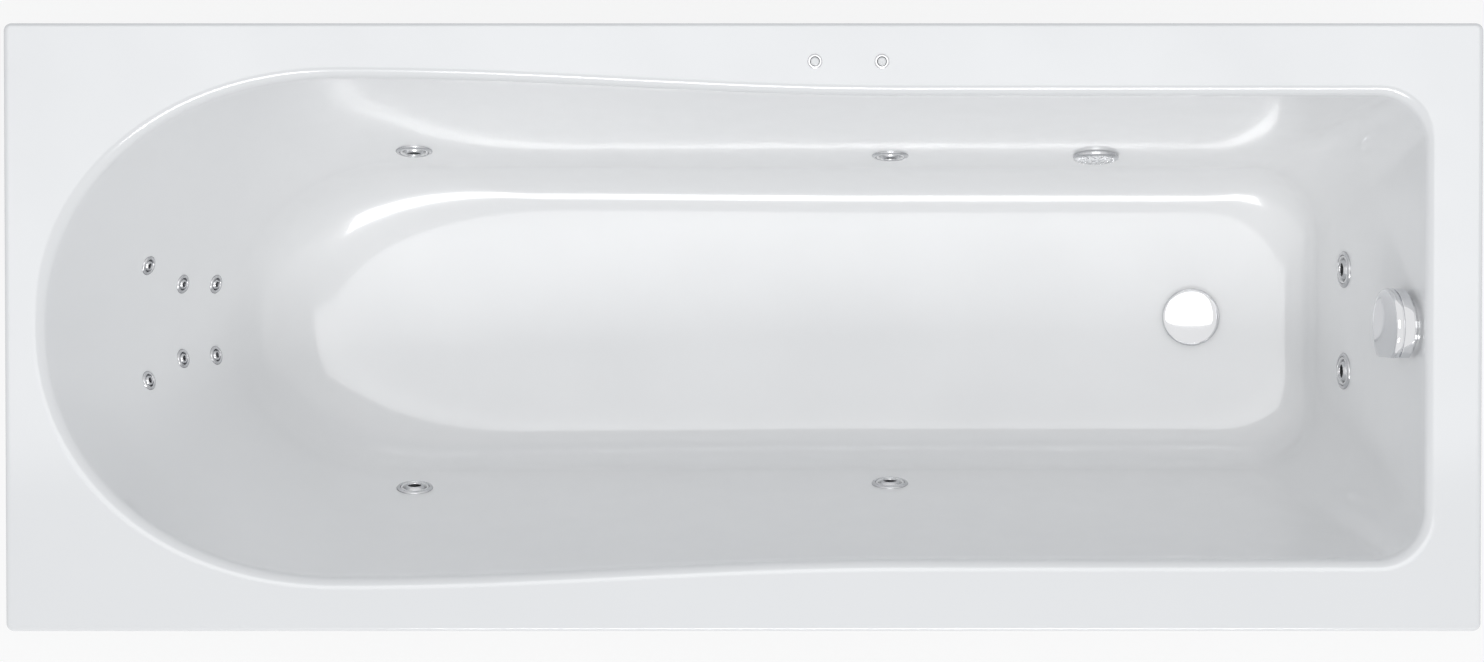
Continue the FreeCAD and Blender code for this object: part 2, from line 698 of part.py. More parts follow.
def make_frame():
    half = S.tube_side / 2
    rails = []
    for sign, side in ((1, "plus"), (-1, "minus")):
        corner = (x_rail_head, S.rail_spread * sign - half, frame_base)
        extent = (x_rail_foot - x_rail_head, S.tube_side, S.tube_side)
        rail = square_tube(f"rail_tube_{side}", corner, extent, "x")
        bores = [rod("stud_hole", S.stud_radius + S.slip, S.tube_side + 4,
                     at(x.value, y.value, frame_base.value - 2))
                 for x, y in stud_places if y.value * sign > 0]
        rails.append(cut(f"rail_{side}", rail, gather(f"rail_holes_{side}", bores)))
    node(gather("frame_rails", rails))
    reach = S.rail_spread * 2 - S.tube_side
    crosses = [square_tube(f"cross_{index}", (x - half, -reach / 2, frame_base),
                           (S.tube_side, reach, S.tube_side), "y")
               for index, x in enumerate(cross_places)]
    node(gather("frame_cross_members", crosses))
    supports = []
    inner = S.rail_spread + half
    outer = S.tub_width / 2 - S.wall - S.moving_gap
    for index, x in enumerate(support_places):
        for sign in (1, -1):
            arm_start = inner if sign > 0 else -outer
            post_start = outer - S.tube_side if sign > 0 else -outer
            arm = block(f"arm_{index}", (x - half, arm_start, frame_base),
                        (S.tube_side, outer - inner, S.tube_side))
            post = square_tube(f"post_{index}", (x - half, post_start, frame_top),
                               (S.tube_side, S.tube_side, S.rim_height - S.wall - frame_top), "z")
            supports.append(fuse(f"support_{index}_{sign}", [arm, post]))
    node(gather("rim_supports", supports))


def make_feet():
    base = S.foot_base_radius
    tall = frame_top + S.stud_over
    pattern = turned("foot_pattern", [
        (0, 0), (base - 2, 0), (base, 2), (base, S.foot_base_height - 5),
        (S.stud_radius * 2, S.foot_base_height), (S.stud_radius, S.foot_base_height),
        (S.stud_radius, tall - 1), (S.stud_radius - 1, tall), (0, tall)])
    places = [at(x.value, y.value, 0) for x, y in stud_places]
    node(copies("levelling_feet", pattern, places))
    blank = doc.addObject("Part::Prism", "nut_blank")
    blank.Polygon = 6
    bind(blank, "Circumradius", S.nut_reach)
    bind(blank, "Height", S.nut_height)
    thread = rod("nut_thread", S.stud_radius + S.slip, S.nut_height + 2, at(0, 0, -1))
    nut = cut("nut_pattern", blank, thread)
    levels = (frame_base.value - S.nut_height.value, frame_top.value)
    node(copies("foot_lock_nuts", nut, [at(x.value, y.value, level)
                                        for x, y in stud_places for level in levels]))


# ---------------------------------------------------------------- water jets

def make_jets():
    back = S.wall + S.gasket
    rim = S.jet_body_radius + S.cup_rim
    inside = S.jet_tube + S.cup_gap
    face = turned("jet_face_pattern", [
        (S.jet_tube_bore, -S.jet_tube_length), (S.jet_tube, -S.jet_tube_length),
        (S.jet_tube, 0), (S.jet_face_radius, 0), (S.jet_face_radius, 1.2),
        (S.jet_face_radius - 1.6, S.jet_face_height), (S.jet_tube_bore, S.jet_face_height)])
    node(copies("jet_faces", face, jet_places))
    seat = -S.wall - 0.1
    seal = turned("jet_seal_pattern", [
        (S.jet_hole, -back), (rim, -back), (rim, seat), (S.jet_hole, seat)])
    seals.append(copies("jet_seals", seal, jet_places))
    socket = S.jet_ball_radius + S.moving_gap
    bezel = turned("jet_bezel_pattern", [
        (socket, -S.bezel_depth), (S.jet_bezel_radius, -S.bezel_depth),
        (S.jet_bezel_radius, S.jet_face_height - 1),
        (S.jet_bezel_radius - 1, S.jet_face_height), (socket + 1.4, S.jet_face_height),
        (socket, S.jet_face_height - 3)])
    ball = doc.addObject("Part::Sphere", "jet_ball_blank")
    bind(ball, "Radius", S.jet_ball_radius)
    ball.Angle1 = -45
    ball.Angle2 = 45
    bore = rod("jet_ball_bore", S.jet_nozzle, S.jet_ball_radius * 2,
               at(0, 0, -S.jet_ball_radius.value))
    nozzle = cut("jet_ball_pattern", ball, bore)
    sink = at(0, 0, -S.jet_ball_depth.value)
    for name, place in zip(JET_NAMES, jet_places):
        node(copies(f"{name}_bezel", bezel, [place]))
        node(copies(f"{name}_eyeball", nozzle, [place.multiply(sink)]))
    cup = turned("jet_cup_pattern", [
        (inside, -back), (rim, -back), (rim, -back - S.cup_rim_height),
        (S.jet_body_radius, -back - S.cup_rim_height),
        (S.jet_body_radius, -S.jet_body_reach), (0, -S.jet_body_reach),
        (0, -S.jet_body_reach + S.body_wall), (inside, -S.jet_body_reach + S.body_wall)])
    doc.recompute()
    bodies = []
    for place in jet_places:
        axis = place.multVec(Vector(0, 0, -S.jet_spigot_reach.value))
        foot = Vector(axis.x, axis.y, socket_level(S.water_level, S.water_pipe) - 12)
        head = Vector(axis.x, axis.y, air_socket_level() + 10)
        floor = S.body_wall.value - S.jet_body_reach.value
        hollow = placed(Part.makeCylinder(inside.value, -floor - back.value,
                                          Vector(0, 0, floor)), place)
        outside = placed(cup.Shape, place).fuse([
            bar_between(axis, foot, S.spigot.value).cut(hollow),
            bar_between(axis, head, S.air_spigot.value).cut(hollow)])
        bores = [bar_between(axis, foot, S.spigot.value - 2),
                 bar_between(axis, head, S.air_spigot.value - 1.5)]
        bodies.append(outside.cut(bores))
    node(shaped("jet_bodies", Part.makeCompound(bodies)))


def socket_level(level, radius):
    """Top of the sockets that stand on a pipe."""
    return level.value + radius.value + S.socket_height.value


def air_socket_level():
    return S.rim_height.value - S.jet_depth.value + 16


def make_back_jets():
    front = S.back_face_height
    socket = S.back_ball_radius + S.moving_gap
    tube = S.back_hole - S.moving_gap
    reach = S.back_body_reach
    shell = turned("back_jet_pattern", [
        (socket, -12), (socket, front - 0.6), (socket + 1, front),
        (S.back_face_radius - 1, front), (S.back_face_radius, 0.8), (S.back_face_radius, 0),
        (tube, 0), (tube, -reach + 8), (S.micro_bore - S.slip, -reach + 8),
        (S.micro_bore - S.slip, -reach), (2.5, -reach), (2.5, -12)])
    node(copies("back_jet_bodies", shell, back_places))
    inner_nut = turned("back_nut_pattern", [
        (tube + S.slip, -S.wall - 7), (tube + 5, -S.wall - 7), (tube + 5, -S.wall - 1),
        (tube + S.slip, -S.wall - 1)])
    ring_nuts.append(copies("back_jet_nuts", inner_nut, back_places))
    ball = doc.addObject("Part::Sphere", "back_ball_blank")
    bind(ball, "Radius", S.back_ball_radius)
    ball.Angle1 = -50
    ball.Angle2 = 50
    bore = rod("back_ball_bore", S.back_nozzle, S.back_ball_radius * 2,
               at(0, 0, -S.back_ball_radius.value))
    nozzle = cut("back_ball_pattern", ball, bore)
    sink = at(0, 0, -S.back_ball_depth.value)
    for name, place in zip(BACK_NAMES, back_places):
        node(copies(f"{name}_nozzle", nozzle, [place.multiply(sink)]))


# ---------------------------------------------------------------- suction

def make_suction():
    back = S.wall + S.gasket
    cover = turned("suction_cover_disc", [
        (0, 1), (S.suction_cover_radius - 1.5, 1), (S.suction_cover_radius, 0),
        (S.suction_cover_radius, S.suction_cover_height - 3),
        (S.suction_cover_radius - 3, S.suction_cover_height),
        (0, S.suction_cover_height + 1)])
    slots = [Part.makeBox(2.4, 26, 20, Vector(offset - 1.2, -13, -5)) for offset in
             (-18, -12, -6, 0, 6, 12, 18)]
    doc.recompute()
    grille = cover.Shape.cut(slots)
    node(shaped("suction_cover", placed(grille, suction_place)))
    rim = S.suction_body_radius + S.suction_rim
    seal = turned("suction_seal", [
        (S.suction_hole, -back), (rim, -back), (rim, -S.wall), (S.suction_hole, -S.wall)],
        suction_place)
    seals.append(seal)
    tube = S.suction_hole - 0.5
    bore = tube - S.suction_wall
    floor = -S.suction_body_reach + S.body_wall
    cup = turned("suction_cup", [
        (bore, 0), (tube, 0), (tube, -back), (rim, -back), (rim, -back - S.cup_rim_height),
        (S.suction_body_radius, -back - S.cup_rim_height),
        (S.suction_body_radius, -S.suction_body_reach), (0, -S.suction_body_reach),
        (0, floor), (bore, floor)])
    doc.recompute()
    axis = suction_place.multVec(Vector(0, 0, -S.suction_spigot_reach.value))
    end = axis + Vector(-50, 0, 0)
    hollow = placed(Part.makeCylinder(bore.value, -floor.value, Vector(0, 0, floor.value)),
                    suction_place)
    spigot = bar_between(axis, end, S.suction_bore.value - S.slip.value).cut(hollow)
    body = placed(cup.Shape, suction_place).fuse(spigot)
    node(shaped("suction_body", body.cut(bar_between(axis, end, S.suction_bore.value - 3))))
    pump = pump_axis()
    run_y = S.tub_width.value / 2 - 56
    run_z = S.water_level.value + 20
    points = [end + Vector(17, 0, 0), Vector(end.x - 45, end.y, end.z),
              Vector(end.x - 145, run_y, run_z),
              Vector(pump.x + 130, run_y, run_z), Vector(pump.x, run_y, pump.z),
              Vector(pump.x, inlet_end() - 20, pump.z)]
    node(shaped("suction_hose", pipe(points, [110, 130, 220, 62], S.suction_hose.value,
                                     S.suction_bore.value)))


# ---------------------------------------------------------------- pump and blower

def pump_axis():
    """Where the pump shaft crosses the centre line of the tub."""
    return Vector(-S.tub_length.value / 2 + S.pump_from_head.value, 0, S.pump_level.value)


def inlet_end():
    return S.volute_start.value + S.volute_length.value + 30


def make_pump():
    pump = pump_axis()
    along = at(pump.x, 0, pump.z, Vector(0, 1, 0))
    start = S.volute_start
    end = start + S.volute_length
    wall = S.body_wall
    inlet = S.suction_bore - S.slip
    bush = S.shaft_radius + S.running_gap
    casing = turned("volute_casing", [
        (bush, start), (S.volute_radius, start), (S.volute_radius, end - 8),
        (S.volute_radius - 8, end), (inlet, end), (inlet, end + 30), (inlet - 3, end + 30),
        (inlet - 3, end - wall), (S.volute_radius - wall - 6, end - wall),
        (S.volute_radius - wall, end - wall - 8), (S.volute_radius - wall, start + wall),
        (bush, start + wall)], along)
    doc.recompute()
    outlet_y = start.value + S.volute_length.value / 2
    centre = Vector(pump.x, outlet_y, S.water_level.value)
    mouth = Vector(pump.x + S.volute_radius.value + 24, outlet_y, S.water_level.value)
    hollow = placed(Part.makeCylinder(S.volute_radius.value - wall.value,
                                      S.volute_length.value - 2 * wall.value,
                                      Vector(0, 0, start.value + wall.value)), along)
    spigot = bar_between(centre, mouth, S.water_bore.value - S.slip.value).cut(hollow)
    body = casing.Shape.fuse(spigot)
    node(shaped("pump_casing", body.cut(bar_between(centre, mouth, S.water_bore.value - 3))))

    blades = []
    hub = turned("impeller_disc", [
        (0, start + 8), (S.impeller_radius, start + 8), (S.impeller_radius, start + 12), (16, start + 12),
        (13, start + 34), (0, start + 34)], along)
    shaft = rod("pump_shaft", S.shaft_radius, 100, along.multiply(at(0, 0, start.value - 70)))
    root = at(S.blade_start.value, -S.blade_thickness.value / 2, start.value + 11.5)
    for index in range(BLADES):
        turn = FreeCAD.Placement(Vector(), FreeCAD.Rotation(UP, 360 / BLADES * index))
        blades.append(sized_box(f"blade_{index}", (S.blade_length, S.blade_thickness, S.blade_height),
                                along.multiply(turn).multiply(root)))
    node(fuse("pump_impeller", [hub, shaft] + blades))

    seal = turned("pump_seal", [
        (S.shaft_radius + S.moving_gap, start - 9), (15, start - 9), (15, start),
        (S.shaft_radius + S.moving_gap, start)], along)
    node(seal)
    rear = start - S.motor_length
    motor = turned("motor_case", [
        (0, rear), (S.motor_radius - 8, rear), (S.motor_radius - 4, rear + 6),
        (S.motor_radius - 4, start - 26), (S.motor_radius, start - 22), (S.motor_radius, start),
        (16, start), (16, start - 10), (9, start - 10), (9, start - 72), (0, start - 72)],
        along)
    fins = []
    for index in range(FINS):
        fin = Part.makeBox(6, 2.4, S.motor_length.value - 50,
                           Vector(S.motor_radius.value - 6, -1.2, rear.value + 16))
        fin.rotate(Vector(), UP, 360 / FINS * (index + 0.5))
        fins.append(placed(fin, along))
    shelf_top = frame_top.value + S.shelf_thickness.value
    feet = []
    for y in (rear.value + 50, start.value - 60):
        feet.append(Part.makeBox(96, 40, pump.z - shelf_top - S.motor_radius.value + 22,
                                 Vector(pump.x - 48, y - 20, shelf_top)))
    doc.recompute()
    node(shaped("pump_motor", motor.Shape.fuse(fins + feet)))
    cover = turned("fan_cover_shell", [
        (S.motor_radius - 2, rear + 13), (S.motor_radius - 2, rear - S.fan_cover_length + 8),
        (S.motor_radius - 8, rear - S.fan_cover_length), (0, rear - S.fan_cover_length),
        (0, rear - S.fan_cover_length + 2.5), (S.motor_radius - 10, rear - S.fan_cover_length + 2.5),
        (S.motor_radius - 4 + S.moving_gap, rear - S.fan_cover_length + 9),
        (S.motor_radius - 4 + S.moving_gap, rear + 13)], along)
    vents = []
    for index in range(VENTS):
        vent = Part.makeBox(24, 4, 12, Vector(16, -2, rear.value - S.fan_cover_length.value - 4))
        vent.rotate(Vector(), UP, 360 / VENTS * index)
        vents.append(placed(vent, along))
    doc.recompute()
    node(shaped("pump_fan_cover", cover.Shape.cut(vents)))


def make_shelf_and_blower():
    pump = pump_axis()
    x_start = x_rail_head
    width = S.pump_from_head + S.shelf_reach
    plate = block("shelf_plate", (x_start, -S.tub_width / 2 + 45, frame_top),
                  (width, S.tub_width - 130, S.shelf_thickness))
    fold = block("shelf_fold", (x_start, -S.tub_width / 2 + 45, frame_top + S.shelf_thickness),
                 (S.shelf_thickness, S.tub_width - 130, 18))
    node(fuse("pump_shelf", [plate, fold]))
    centre_y = -pipe_line()
    base = frame_top + S.shelf_thickness
    top = S.blower_height
    spigot = S.air_bore - S.slip
    round_edge = S.blower_radius
    blower = turned("air_blower", [
        (0, 0), (round_edge, 0), (round_edge, top * 0.4), (round_edge - 4, top * 0.45),
        (round_edge - 4, top - 14), (round_edge - 16, top), (spigot, top), (spigot, top + 26),
        (spigot - 2, top + 26), (spigot - 2, top - 10), (0, top - 10)],
        at(pump.x, centre_y, base.value))
    node(blower)


# ---------------------------------------------------------------- pipes

def pipe_line():
    """Distance of the long pipes from the centre line: over the side jets' connections."""
    reach = [abs(place.multVec(Vector(0, 0, -S.jet_spigot_reach.value)).y)
             for place in jet_places[:4]]
    return sum(reach) / len(reach)


def foot_pipe_line():
    """The x of the pipes behind the foot wall."""
    return jet_places[4].multVec(Vector(0, 0, -S.jet_spigot_reach.value)).x


def make_water_pipe():
    side = pipe_line()
    level = S.water_level.value
    head = -S.tub_length.value / 2 + S.head_crossing.value
    foot = foot_pipe_line()
    far = S.jet_foot_offset.value + 34
    stop = -S.foot_jet_spread.value - 34
    corners = [Vector(far, -side, level), Vector(head, -side, level), Vector(head, side, level),
               Vector(foot, side, level), Vector(foot, stop, level)]
    inner = [corners[0] - Vector(3, 0, 0)] + corners[1:4] + [corners[4] + Vector(0, 3, 0)]
    bends = [50, 50, 50]
    outside = solid_pipe(corners, bends, S.water_pipe.value)
    bores = [solid_pipe(inner, bends, S.water_bore.value)]
    stubs = []
    for place in jet_places:
        axis = place.multVec(Vector(0, 0, -S.jet_spigot_reach.value))
        start = Vector(axis.x, axis.y, level)
        end = Vector(axis.x, axis.y, socket_level(S.water_level, S.water_pipe))
        stubs.append(bar_between(start, end, S.spigot.value + S.socket_wall.value))
        bores.append(bar_between(start, end, S.spigot.value + S.slip.value))
    outlet_y = S.volute_start.value + S.volute_length.value / 2
    mouth = Vector(pump_axis().x + S.volute_radius.value + 4, outlet_y, level)
    joint = Vector(head, outlet_y, level)
    shoulder = mouth + Vector(S.outlet_socket.value, 0, 0)
    narrow = S.water_bore.value - S.bore_step.value
    stubs.append(bar_between(mouth, joint, S.water_pipe.value - S.branch_step.value))
    bores.append(bar_between(mouth, shoulder, S.water_bore.value))
    bores.append(bar_between(shoulder - Vector(1, 0, 0), joint, narrow))
    feed = Vector(head, S.back_feed.value, level)
    top = Vector(feed.x, feed.y, socket_level(S.water_level, S.water_pipe))
    stubs.append(bar_between(feed, top, S.micro_bore.value - S.slip.value))
    bores.append(bar_between(feed, top, S.micro_bore.value - 1.4))
    node(shaped("pressure_pipe", outside.fuse(stubs).cut(bores)))


def make_air_pipe():
    side = pipe_line()
    level = S.air_level.value
    foot = foot_pipe_line()
    x_blower = pump_axis().x
    base = frame_top.value + S.shelf_thickness.value + S.blower_height.value + 6
    points = [Vector(x_blower, -side, base), Vector(x_blower, -side, level),
              Vector(foot, -side, level), Vector(foot, side, level),
              Vector(-S.jet_head_offset.value - 26, side, level)]
    inner = points[:4] + [points[4] + Vector(2, 0, 0)]
    bends = [40, 45, 45]
    outside = solid_pipe(points, bends, S.air_pipe.value)
    bores = [solid_pipe(inner, bends, S.air_bore.value)]
    stubs = []
    for place in jet_places:
        axis = place.multVec(Vector(0, 0, -S.jet_spigot_reach.value))
        start = Vector(axis.x, axis.y, level)
        end = Vector(axis.x, axis.y, air_socket_level())
        if axis.z > end.z - 12:
            end.z = axis.z + 30
        stubs.append(bar_between(start, end, S.air_spigot.value + S.air_socket_wall.value))
        bores.append(bar_between(start, end, S.air_spigot.value + S.slip.value))
    node(shaped("air_pipe", outside.fuse(stubs).cut(bores)))


BACK_SEATS = [1.03, 1.1, 0.5]     # where each row's hose meets the header, as a share of its y


def make_back_hoses():
    """A short header behind the backrest with one hose to each small jet."""
    header_x = -S.tub_length.value / 2 + S.header_from_head.value
    header_z = S.pump_level.value + S.header_over_pump.value
    half = S.header_half.value
    radius = S.header_radius.value
    cap_wall = 3.0
    pieces = []
    header = Part.makeCylinder(radius, 2 * half, Vector(header_x, -half, header_z),
                               Vector(0, 1, 0))
    hollow = Part.makeCylinder(radius - S.header_wall.value, 2 * (half - cap_wall),
                               Vector(header_x, cap_wall - half, header_z), Vector(0, 1, 0))
    nipples = []
    nipple_bores = []
    for place in back_places:
        tail = place.multVec(Vector(0, 0, -S.back_body_reach.value))
        outward = place.Rotation.multVec(Vector(0, 0, -1))
        knee = tail + outward * 14
        seat = Vector(header_x, tail.y * BACK_SEATS[len(pieces) // 2], header_z)
        pull = (knee - seat).normalize()
        slope = abs(pull.y)
        start = (radius + 1 + S.micro_hose.value * slope) / math.sqrt(1 - slope ** 2)
        grip = seat + pull * (start + S.hose_grip.value)
        nipples.append(bar_between(seat, grip, S.micro_bore.value - S.slip.value))
        nipple_bores.append(bar_between(seat, grip, S.micro_bore.value - 2))
        line = [tail - outward * 7, knee, seat + pull * start]
        pieces.append(pipe(line, [9.0], S.micro_hose.value, S.micro_bore.value))
    feed = Vector(-S.tub_length.value / 2 + S.head_crossing.value, S.back_feed.value,
                  S.water_level.value + S.water_pipe.value + 2)
    cap = Vector(header_x, half, header_z)
    root = cap - Vector(0, cap_wall + 1, 0)
    tip = cap + Vector(0, S.hose_grip.value + 1, 0)
    nipples.append(bar_between(root, tip, S.micro_bore.value - S.slip.value))
    nipple_bores.append(bar_between(root, tip, S.micro_bore.value - 2))
    manifold = header.fuse(nipples).cut([hollow] + nipple_bores)
    line = [cap + Vector(0, 1, 0), cap + Vector(0, 42, 0), feed + Vector(0, 0, 32), feed]
    pieces.append(pipe(line, [24, 18], S.micro_hose.value, S.micro_bore.value))
    node(shaped("back_jet_hoses", Part.makeCompound([manifold] + pieces)))


# ---------------------------------------------------------------- waste, plug and trap

def make_waste():
    bush = S.stem_radius + S.running_gap
    flange = turned("waste_flange_ring", [
        (S.flange_bore, -10), (S.flange_neck, -10), (S.flange_neck, 0), (S.flange_radius, 0),
        (S.flange_radius, 1.2), (S.flange_radius - 2, 2), (S.flange_bore, 2)])
    guide = turned("waste_guide", [(bush, -22), (7, -22), (7, -4), (bush, -4)])
    doc.recompute()
    ribs = []
    for index in range(3):
        rib = Part.makeBox(18, 3, 5, Vector(5.5, -1.5, -9.5))
        rib.rotate(Vector(), UP, 120 * index)
        ribs.append(rib.cut(Part.makeCylinder(bush.value, 40, Vector(0, 0, -25))))
    node(shaped("waste_flange", placed(flange.Shape.fuse([guide.Shape] + ribs), waste_place)))
    seat = 2.0 + S.moving_gap.value
    disc = S.plug_radius
    low = as_size(seat + 1)
    end = -S.stem_reach - S.plug_rise
    node(turned("waste_plug", [
        (0, end), (S.stem_radius - 1, end), (S.stem_radius, end + 1), (S.stem_radius, low),
        (disc - 1, low), (disc, low + 1), (disc, low + 2.4), (disc - 2, low + 3.6),
        (disc * 0.5, low + S.plug_height + 0.6), (0, low + S.plug_height + 1)], waste_place))
    node(turned("plug_seal", [
        (24, seat), (30, seat), (31, seat + 1), (24, seat + 1)], waste_place))
    gasket = S.wall + S.gasket
    cup = S.waste_cup_radius
    wall = S.pipe_wall
    seals.append(turned("waste_seal", [
        (S.waste_hole + 1, -gasket), (cup + 4, -gasket), (cup + 4, -S.wall),
        (S.waste_hole + 1, -S.wall)], waste_place))
    outlet = S.waste_outlet
    depth = S.waste_cup_depth
    neck = S.flange_neck + S.neck_gap
    tail = -depth - S.tail_length
    body = turned("waste_cup", [
        (neck, -gasket), (cup + 4, -gasket), (cup + 4, -gasket - 4), (cup, -gasket - 4),
        (cup, -depth), (outlet, -depth - 4), (outlet, tail), (outlet - wall, tail),
        (outlet - wall, -depth), (cup - wall, -depth + 4), (cup - wall, -gasket - 4),
        (neck, -gasket - 4)], waste_place)
    doc.recompute()
    inlet = waste_place.multVec(Vector(0, 0, -S.inlet_drop.value))
    tip = inlet + Vector(cup.value + 34, 0, 0)
    hollow = placed(Part.makeCylinder(cup.value - wall.value, depth.value,
                                      Vector(0, 0, -depth.value)), waste_place)
    spigot = bar_between(inlet, tip, S.hose_spigot.value).cut(hollow)
    cable_seat = inlet + Vector(0, S.cable_offset.value, 0)
    boss = bar_between(cable_seat, cable_seat + Vector(cup.value + 4, 0, 0),
                       S.cable_radius.value + 2.5).cut(hollow)
    whole = body.Shape.fuse([spigot, boss])
    bores = [bar_between(inlet, tip, S.hose_spigot.value - 2),
             bar_between(cable_seat, cable_seat + Vector(cup.value + 6, 0, 0),
                         S.cable_radius.value + S.slip.value)]
    node(shaped("waste_body", whole.cut(bores)))


def overflow_line():
    """The point on the overflow body's axis from which its spigot drops."""
    return overflow_place.multVec(Vector(0, 0, -S.overflow_spigot.value))


def make_overflow():
    gasket = S.wall + S.gasket
    bush = S.spindle_radius + S.running_gap
    face = turned("overflow_face_ring", [
        (bush, -18), (11, -18), (11, 0), (S.neck_radius, 0), (S.neck_radius, 5),
        (S.neck_radius - 4, 6), (12, 6), (11, 8), (bush, 8)])
    ports = [Part.makeCylinder(4, 30, Vector(22 * math.cos(angle), 22 * math.sin(angle), -5))
             for angle in (math.radians(60 * index + 30) for index in range(6))]
    tube = Part.makeCylinder(S.overflow_hole.value - 0.6, 8, Vector(0, 0, -8)).cut(
        Part.makeCylinder(S.overflow_hole.value - 3, 8, Vector(0, 0, -8)))
    doc.recompute()
    node(shaped("overflow_face", placed(face.Shape.cut(ports).fuse(tube), overflow_place)))
    knob = turned("knob_blank", [
        (0, -22), (S.spindle_radius, -22), (S.spindle_radius, 12), (9, 12),
        (9, S.knob_front - 4), (S.knob_radius - 4, S.knob_front - 4),
        (S.knob_radius - 4, S.knob_back), (S.knob_radius, S.knob_back),
        (S.knob_radius, 19), (S.knob_radius - 1.2, 19.4), (S.knob_radius - 1.2, 20.6),
        (S.knob_radius, 21), (S.knob_radius, S.knob_front - 3),
        (S.knob_radius - 1, S.knob_front - 1), (S.knob_radius - 3, S.knob_front), (0, S.knob_front)])
    doc.recompute()
    reach = S.knob_radius.value
    side = 1 if overflow_place.Rotation.multVec(Vector(1, 0, 0)).y < 0 else -1
    corner = S.knob_flat.value if side > 0 else -S.knob_flat.value - reach
    flat = Part.makeBox(reach, 2 * reach, reach + 30, Vector(corner, -reach, -1))
    node(shaped("overflow_knob", placed(knob.Shape.cut(flat), overflow_place)))
    floor = -S.overflow_reach + S.pipe_wall
    cup = turned("overflow_cup", [
        (S.overflow_hole, -gasket), (S.overflow_rim, -gasket), (S.overflow_rim, -gasket - 4),
        (S.overflow_side, -gasket - 4), (S.overflow_side, -S.overflow_reach),
        (0, -S.overflow_reach), (0, floor), (S.overflow_bore, floor),
        (S.overflow_bore, -gasket - 4), (S.overflow_hole, -gasket - 4)])
    seals.append(turned("overflow_seal", [
        (S.overflow_hole + 1, -gasket), (S.overflow_rim, -gasket), (S.overflow_rim, -S.wall),
        (S.overflow_hole + 1, -S.wall)], overflow_place))
    doc.recompute()
    top = overflow_line()
    foot = top - Vector(0, 0, 56)
    hollow = placed(Part.makeCylinder(S.overflow_bore.value, -floor.value - gasket.value,
                                      Vector(0, 0, floor.value)), overflow_place)
    spigot = bar_between(top, foot, S.hose_spigot.value).cut(hollow)
    cable_top = top + Vector(0, S.cable_offset.value, -18)
    boss = bar_between(top + Vector(0, S.cable_offset.value - 4, -8), cable_top + Vector(0, 0, -14),
                       S.cable_radius.value + 2.5).cut(hollow)
    whole = placed(cup.Shape, overflow_place).fuse([spigot, boss])
    bores = [bar_between(top, foot, S.hose_spigot.value - 2),
             bar_between(cable_top + Vector(0, 0, 8), cable_top - Vector(0, 0, 20),
                         S.cable_radius.value + S.slip.value)]
    node(shaped("overflow_body", whole.cut(bores)))
    inlet = waste_place.multVec(Vector(S.waste_cup_radius.value + 13, 0, -S.inlet_drop.value))
    hose = [top - Vector(0, 0, 35), Vector(top.x, 0, inlet.z), inlet]
    node(shaped("overflow_hose", pipe(hose, [50], S.overflow_hose.value,
                                      S.hose_spigot.value + S.slip.value)))
    shift = Vector(0, S.cable_offset.value, 0)
    line = [cable_top - Vector(0, 0, 2), Vector(top.x, 0, inlet.z) + shift,
            inlet + shift - Vector(14, 0, 0)]
    node(shaped("control_cable", solid_pipe(line, [50], S.cable_radius.value)))


def make_trap():
    bend = S.trap_bend.value
    radius = S.waste_outlet.value
    bore = radius - S.pipe_wall.value
    drop = S.waste_cup_depth + S.tail_length + S.moving_gap
    start = waste_place.multVec(Vector(0, 0, -drop.value))
    low = start.z - 28 - bend
    far = start.x - 2 * bend
    out = start.z + 12
    points = [start, Vector(start.x, 0, low), Vector(far, 0, low), Vector(far, 0, out),
              Vector(far - bend - 16, 0, out)]
    bends = [bend * 0.999, bend * 0.999, bend]
    body = solid_pipe(points, bends, radius)
    tail_end = points[-1] - Vector(45, 0, 0)
    tail = bar_between(points[-1], tail_end, S.trap_outlet.value)
    inside = solid_pipe(points, bends, bore)
    bore_end = bar_between(points[-1], tail_end, S.trap_outlet.value - 2.5)
    node(shaped("waste_trap", body.fuse(tail).cut([inside, bore_end])))
    collar = S.waste_outlet + S.slip
    node(turned("trap_nut", [
        (collar, -12), (collar + 6, -12), (collar + 6, 14), (collar, 14)],
        at(start.x, 0, start.z)))


# ---------------------------------------------------------------- push buttons and control box

def make_buttons():
    rim = S.wall
    face = S.button_height
    tube = S.button_hole - 0.3
    body = turned("button_body_pattern", [
        (S.button_bore, -S.button_depth + 12), (S.button_bore, face), (S.button_face - 0.8, face),
        (S.button_face, 0.6), (S.button_face, 0), (tube, 0), (tube, -S.button_depth + 6),
        (S.air_tube - 1, -S.button_depth + 6), (S.air_tube - 1, -S.button_depth - 6),
        (1, -S.button_depth - 6), (1, -S.button_depth + 12)])
    node(copies("button_bodies", body, button_places))
    nut = turned("button_nut_pattern", [
        (tube + S.slip, -rim - 6), (tube + 5, -rim - 6), (tube + 5, -rim), (tube + S.slip, -rim)])
    ring_nuts.append(copies("button_nuts", nut, button_places))
    cap = turned("button_cap_pattern", [
        (0, -12), (S.button_cap, -12), (S.button_cap, face + 2), (S.button_cap - 0.8, face + 2.8),
        (0, face + 2.8)])
    for name, place in zip(("button_pump", "button_blower"), button_places):
        node(copies(name, cap, [place]))


